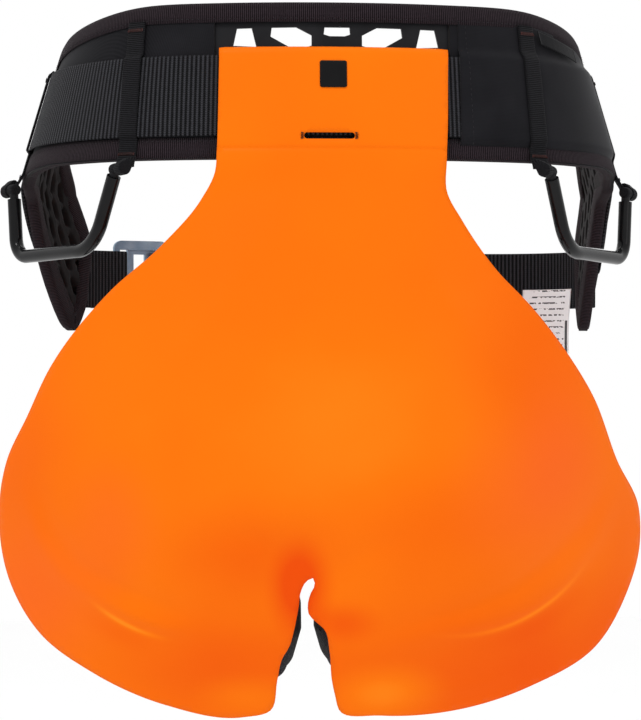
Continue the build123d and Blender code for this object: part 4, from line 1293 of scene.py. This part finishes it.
def leg_bridge():
    """The rolled strap between the leg loops, with a lip at each end."""
    turns = full_turn(36)
    lip = [(-35.8, 0.01), (-35.8, 5.6), (-35.3, 6.3), (-34.8, 6.3), (-34.4, 5.6), (-34.4, 3.5)]
    middle = [(x, 3.25 + 0.12 * math.sin(x * 1.3)) for x in np.linspace(-33, 33, 60)]
    profile = np.array(lip + middle + [(-x, r) for x, r in lip[::-1]])
    x, r = profile[:, :1], profile[:, 1:]
    rows = np.broadcast_arrays(x + MIDDLE_X, BRIDGE_Y + r * np.cos(turns), BRIDGE_Z + r * np.sin(turns))
    points = np.stack(rows, -1).reshape(-1, 3)
    faces = quads(len(profile), 36, False, True)
    uvs = uv_grid(x, turns * 3.3)
    bridge = piece("leg_bridge_rolled", points, faces, [MAT["webbing_narrow"]], uvs)
    fit(bridge, "webbing", ROOT, "leg_bridge")


def belay_loop():
    """The sewn loop between the tie-in handle and the bridge, with its elastic keeper."""
    bore = 11.0 - 2.25
    top = np.array([MIDDLE_X, TIE_Y, TIE_Z + 12 + 1.4 - bore])
    low = np.array([MIDDLE_X, BRIDGE_Y, BRIDGE_Z - 3.3 - 1.4 + bore])
    along = unit(top - low)
    out = np.array([0, along[2], -along[1]])
    turns = np.linspace(-math.pi / 2, math.pi / 2, 24)
    ring = [
        centre + 11 * sign * (np.cos(t) * along - np.sin(t) * out)
        for centre, sign in ((top, 1), (low, -1)) for t in turns
    ]
    centres = even(np.array(ring + ring[:1]), 2.0)[:-1]
    middle = (top + low) / 2
    ahead = ring_ahead(centres)
    outward = point_away(unit(np.cross(ahead, ACROSS)), centres, middle)
    edge = [(8.3, -2.25), (8.9, -2.0), (9, -0.5), (8.6, 0), (9, 0.5), (8.9, 2.0), (8.3, 2.25)]
    section = [(-8.9, -2.0), (-8.3, -2.25), *edge, *((x, 2.25) for x in np.linspace(6, -6, 8))]
    section += [(-x, y) for x, y in edge[:1:-1]]
    parts = [tube_of("loop", centres, ACROSS, outward, section, [MAT["webbing_narrow"]], True)]
    for share in (-0.62, -0.5, 0.5, 0.62):
        for face in (-1, 1):
            at = middle + along * share * 55 + out * face * 13.3
            parts.append(bartack("bar", at, ACROSS, along, out * face, 15))
    fit(join("belay_loop_sewn", parts), "webbing", "belay_loop", "belay_loop")

    wide, deep, radius = 10.15, 14.4, 2.5
    corners = []
    for k, (sx, sy) in enumerate(((1, 1), (-1, 1), (-1, -1), (1, -1))):
        for turn in math.radians(90 * k) + np.linspace(0, math.pi / 2, 6):
            corner = (sx * (wide - radius), sy * (deep - radius))
            corners.append((corner[0] + radius * math.cos(turn), corner[1] + radius * math.sin(turn)))
    corners = np.array(corners)
    base = middle - along * 2
    centres = base + np.outer(corners[:, 0], ACROSS) + np.outer(corners[:, 1], out)
    ahead = ring_ahead(centres)
    lift = point_away(unit(np.cross(ahead, along)), centres, base)
    section = strap_section(15.6, -0.7, 0.7, 8)
    cover = tube_of("belay_loop_keeper_elastic", centres, along, lift, section, [MAT["elastic"]], True)
    fit(cover, "elastic", "belay_loop", "belay_loop_keeper")


# ---------------------------------------------------------------- leg loops
THIGH_LEVELS = np.array(
    [(-190, 101, 87, 103), (-300, 98, 83, 100), (-370, 90, 76, 98), (-460, 88, 48, 80)], float
)
THIGH_Y = -12
LEG_PAD_HALF = 26.6
LEG_LINE = smooth_line([(-170, -386), (-60, -388), (50, -356), (150, -298)], 18)
LEG_RISE = math.tan(math.radians(22))


def thigh_size(z):
    """How far out a thigh stands at a height, and its half width and half depth."""
    return [np.interp(z, THIGH_LEVELS[::-1, 0], THIGH_LEVELS[::-1, k]) for k in (1, 2, 3)]


def thigh(side, turn, z, grow):
    """Points grow outside one thigh, by the turn round it and the height."""
    turn, z, grow = np.broadcast_arrays(*(np.asarray(v, float) for v in (turn, z, grow)))
    out, wide, deep = thigh_size(z)
    x = MIDDLE_X + side * out + (wide + grow) * np.cos(turn)
    return np.stack([x, THIGH_Y + (deep + grow) * np.sin(turn), z], -1)


def leg_z(side, turn, offset=0.0, grow=0.0):
    """Height of the leg band's middle at each place round the thigh, moved by an offset up the band."""
    z = np.full(np.shape(turn), -350.0)
    for _ in range(12):
        p = thigh(side, turn, z, grow)
        rise = np.abs(p[..., 0] - MIDDLE_X) * LEG_RISE
        aim = np.interp(p[..., 1], LEG_LINE[:, 0], LEG_LINE[:, 1]) + rise + offset
        z = 0.5 * z + 0.5 * np.clip(aim, -460, -190)
    return z


def leg_normal(side, turn, z):
    along = unit(thigh(side, turn + 0.01, z, 0) - thigh(side, turn - 0.01, z, 0))
    return unit(np.cross(along, np.broadcast_to([0, 0, 1.0], along.shape)))


def leg_loops():
    """Foam leg pads with their binding, webbing band and grip patch, then the straps in front."""
    count = 220
    turn = full_turn(count)
    for side, name in SIDES:
        body = f"leg_loop_{name}"
        nv = 40
        v = np.linspace(-1, 1, nv)
        rows_in, rows_out = [], []
        for share in v:
            puff = max(1 - share**2, 0) ** 0.5
            z = leg_z(side, turn, share * LEG_PAD_HALF)
            holes = np.zeros(count)
            for row in (-1, 0, 1):
                centre = share * LEG_PAD_HALF - row * 12.0
                run = (turn * 92 + (6 if row else 0)) % 12.0 - 6.0
                away = np.hypot(np.maximum(abs(centre) - 3.2, 0), run)
                holes = np.maximum(holes, np.clip((2.5 - away) / 1.0, 0, 1))
            rows_in.append(thigh(side, turn, z, -0.7 * puff + 3.0 * holes))
            rows_out.append(thigh(side, turn, z, 5.6 + 0.9 * puff))
        grid = np.stack(rows_out + rows_in[::-1], 1)
        m = grid.shape[1]
        faces = quads(count, m, True, True)
        kinds = np.where((np.arange(len(faces)) % m) < nv - 1, 1, 0)
        mats = [MAT["foam"], MAT["shell"]]
        pad = piece(f"leg_pad_foam_{name}", grid.reshape(-1, 3), faces, mats, face_mats=kinds)
        face_outwards(pad)
        fit(pad, "foam", body, f"leg_pad_{name}")

        bindings = []
        for sign in (1, -1):
            z = leg_z(side, turn, sign * 26.9)
            centres = thigh(side, turn, z, 0)
            normal = leg_normal(side, turn, z)
            section = U_BINDING * [0.72, 0.96]
            bindings.append(tube_of("bind", centres, -sign * UP, normal, section, [MAT["grosgrain"]], True))
        bound = join(f"leg_binding_tape_{name}", bindings)
        face_outwards(bound)
        fit(bound, "grosgrain", body, f"leg_binding_{name}")

        section = strap_section(35.6, 7.6, 9.4, 16)
        z = leg_z(side, turn)
        points = np.stack([thigh(side, turn, z + u, g) for u, g in section], 1)
        length = run_length(thigh(side, turn, z, 8))
        uvs = uv_grid(length[:, None], section[:, 0])
        faces = quads(count, len(section), True, True)
        webbing = piece(f"leg_webbing_band_{name}", points.reshape(-1, 3), faces, [MAT["webbing"]], uvs)
        face_outwards(webbing)
        fit(webbing, "webbing", body, f"leg_webbing_{name}")

        s, t = rounded_patch(60, 26, 3)
        x, z = MIDDLE_X + side * 90 + s, -369 + t
        out, wide, deep = thigh_size(z)
        fall = np.sqrt(1 - ((x - MIDDLE_X - side * out) / (wide + 9.6)) ** 2)
        low, high = (np.stack([x, THIGH_Y - (deep + g) * fall, z], -1) for g in (9.6, 10.7))
        grip = slab(f"leg_grip_patch_{name}", low, high, [MAT["grip"]])
        fit(grip, "grip_tape", body, f"leg_grip_{name}")
        leg_front(side, name, body)


def leg_front(side, name, body):
    """The strap from the bridge to one leg loop, the leg strap's tail and the elastic riser."""
    x = MIDDLE_X + side * 25.5
    start, stop = np.array([163.0, -245.6]), np.array([52.0, -334.2])
    lean = unit(stop - start)
    turns = np.linspace(math.radians(-126), math.radians(215), 40)
    ring = np.array([[x, BRIDGE_Y + 5 * math.cos(t), BRIDGE_Z + 5 * math.sin(t)] for t in turns])
    leg = np.array([[x, *(start + lean * d)] for d in np.linspace(6, np.linalg.norm(stop - start), 70)])
    centres = even(np.concatenate([ring, leg]), 1.5)
    ahead = unit(np.gradient(centres, axis=0))
    normal = unit(np.cross(ahead, ACROSS))
    section = strap_section(15.6, -1.2, 1.2, 8, 0.1)
    parts = [tube_of("strap", centres, ACROSS, normal, section, [MAT["webbing_narrow"]])]
    first = int(len(centres) * 0.42)
    for k in (first, first + 4, first + 8):
        for face in (-1, 1):
            at = centres[k] + normal[k] * 1.25 * face
            out = normal[first] * face
            parts.append(bartack("bar", at, ACROSS, ahead[first], out, 12.5, rows=8))
    fit(join(f"leg_front_strap_sewn_{name}", parts), "webbing", body, f"leg_front_strap_{name}")

    tilt = math.radians(22)
    centre = np.array([MIDDLE_X + side * 95, THIGH_Y + 100 + 9.4 + 1.0, -292.0])
    ahead = np.array([side * math.cos(tilt), 0, math.sin(tilt)])
    up = np.array([-side * math.sin(tilt), 0, math.cos(tilt)])
    run = np.linspace(-30, 14, 60)
    lift = 4.1 + 0.25 * np.sin(run / 4.5)
    centres = centre + np.outer(run, ahead) + np.outer(lift, [0, 1, 0])
    section = strap_section(35.4, -0.8, 0.8, 12)
    tail = tube_of(f"leg_strap_tail_end_{name}", centres, up, (0, 1, 0), section, [MAT["webbing"]])
    fit(tail, "webbing", body, f"leg_strap_tail_{name}")

    upper = np.array([side * 62, -140.0, -53.0])
    lower = np.array([MIDDLE_X + side * 88, -122.5, -352.0])
    share = np.linspace(0, 1, 90)[:, None]
    centres = upper * (1 - share) + lower * share
    ahead = unit(lower - upper)
    across = unit(ACROSS - ACROSS @ ahead * ahead)
    normal = unit(np.cross(across, ahead))
    section = strap_section(11.8, -0.7, 0.7, 6)
    riser = tube_of(f"riser_elastic_{name}", centres, across, normal, section, [MAT["elastic"]])
    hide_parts(f"riser_{name}")
    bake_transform(riser)


# ---------------------------------------------------------------- hard pieces kept from the frame
def bevelled(obj, width):
    smooth = obj.modifiers.new("soft_edges", "BEVEL")
    smooth.width = width * MM
    smooth.segments = 3
    smooth.limit_method = "ANGLE"
    smooth.angle_limit = math.radians(40)


def hard_pieces():
    """Gives the frame's own hard nodes their materials, and soft edges of a width in millimetres."""
    look = {
        "back_frame": ("frame", 0.5),
        "waist_buckle_frame": ("alloy", 0.7),
        "waist_buckle_slider": ("alloy", 0.7),
    }
    for _, name in SIDES:
        look[f"gear_loop_core_{name}"] = ("core", 0.0)
        look[f"gear_loop_tube_{name}"] = ("tube", 0.35)
        look[f"leg_buckle_frame_{name}"] = ("alloy", 0.6)
        look[f"leg_buckle_slider_{name}"] = ("alloy", 0.6)
    for node_name, (finish, edge) in look.items():
        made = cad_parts[node_name]
        made.data.materials.clear()
        made.data.materials.append(MAT[finish])
        if edge:
            bevelled(made, edge)


# ---------------------------------------------------------------- everything
for pad_side, pad_name in SIDES:
    hip_pad(pad_side, pad_name)
belt_binding()
waist_webbing()
keepers()
loop_wraps()
labels()
front_straps()
tie_in_handle()
leg_bridge()
belay_loop()
seat_protector()
seat_extras()
leg_loops()
hard_pieces()


# ---------------------------------------------------------------- light, camera and surroundings
def area_light(name, place, aim, size, energy, colour=(1, 1, 1)):
    lamp = bpy.data.lights.new(name, "AREA")
    lamp.shape = "RECTANGLE"
    lamp.size, lamp.size_y = size
    lamp.energy = energy
    lamp.color = colour
    made = bpy.data.objects.new(name, lamp)
    made.location = place
    made.rotation_euler = (Vector(aim) - Vector(place)).to_track_quat("-Z", "Y").to_euler()
    bpy.context.scene.collection.objects.link(made)
    return made


def surroundings():
    scene = bpy.context.scene
    world = bpy.data.worlds.new("studio")
    world.use_nodes = True
    back = world.node_tree.nodes["Background"]
    back.inputs["Color"].default_value = (1, 1, 1, 1)
    back.inputs["Strength"].default_value = 1.0
    scene.world = world
    floor_mat, tree, shader = material("floor", (0.94, 0.94, 0.94), 0.7)
    mottle = noise(tree, coords(tree, False), 3.0)
    paint(tree, shader, mottle, 0.2, 0.8, (0.975, 0.975, 0.975), (0.985, 0.985, 0.985))
    corners = [(-6000, -6000, -1000), (6000, -6000, -1000), (6000, 6000, -1000), (-6000, 6000, -1000)]
    floor = piece("floor", corners, [(0, 1, 2, 3)], [floor_mat])
    lamps = [
        area_light("key", (-1.0, -1.5, 1.9), (0, 0, -0.15), (0.5, 0.5), 17, (1.0, 0.99, 0.98)),
        area_light("fill", (1.6, -1.7, 0.5), (0, 0, -0.2), (0.8, 1.2), 4, (1.0, 0.95, 0.97)),
        area_light("top", (0.0, 0.4, 1.9), (0, 0, 0), (1.6, 1.2), 9),
        area_light("rim", (0.2, 1.8, 0.5), (0, 0, -0.1), (1.6, 1.0), 5),
    ]
    lens = bpy.data.cameras.new("camera")
    lens.lens = 123.05
    lens.sensor_width = 36
    lens.dof.use_dof = False
    lens.clip_start, lens.clip_end = 0.05, 50
    camera = bpy.data.objects.new("camera", lens)
    camera.location = (-0.122, -1.746, -0.182)
    turn = math.radians(4)
    ahead = Vector((math.sin(turn), math.cos(turn), 0))
    camera.rotation_euler = ahead.to_track_quat("-Z", "Y").to_euler()
    scene.collection.objects.link(camera)
    scene.camera = camera
    scene.view_settings.view_transform = "Standard"
    scene.view_settings.look = "None"
    scene.view_settings.exposure = 0.0
    scene.view_settings.gamma = 1.0


surroundings()
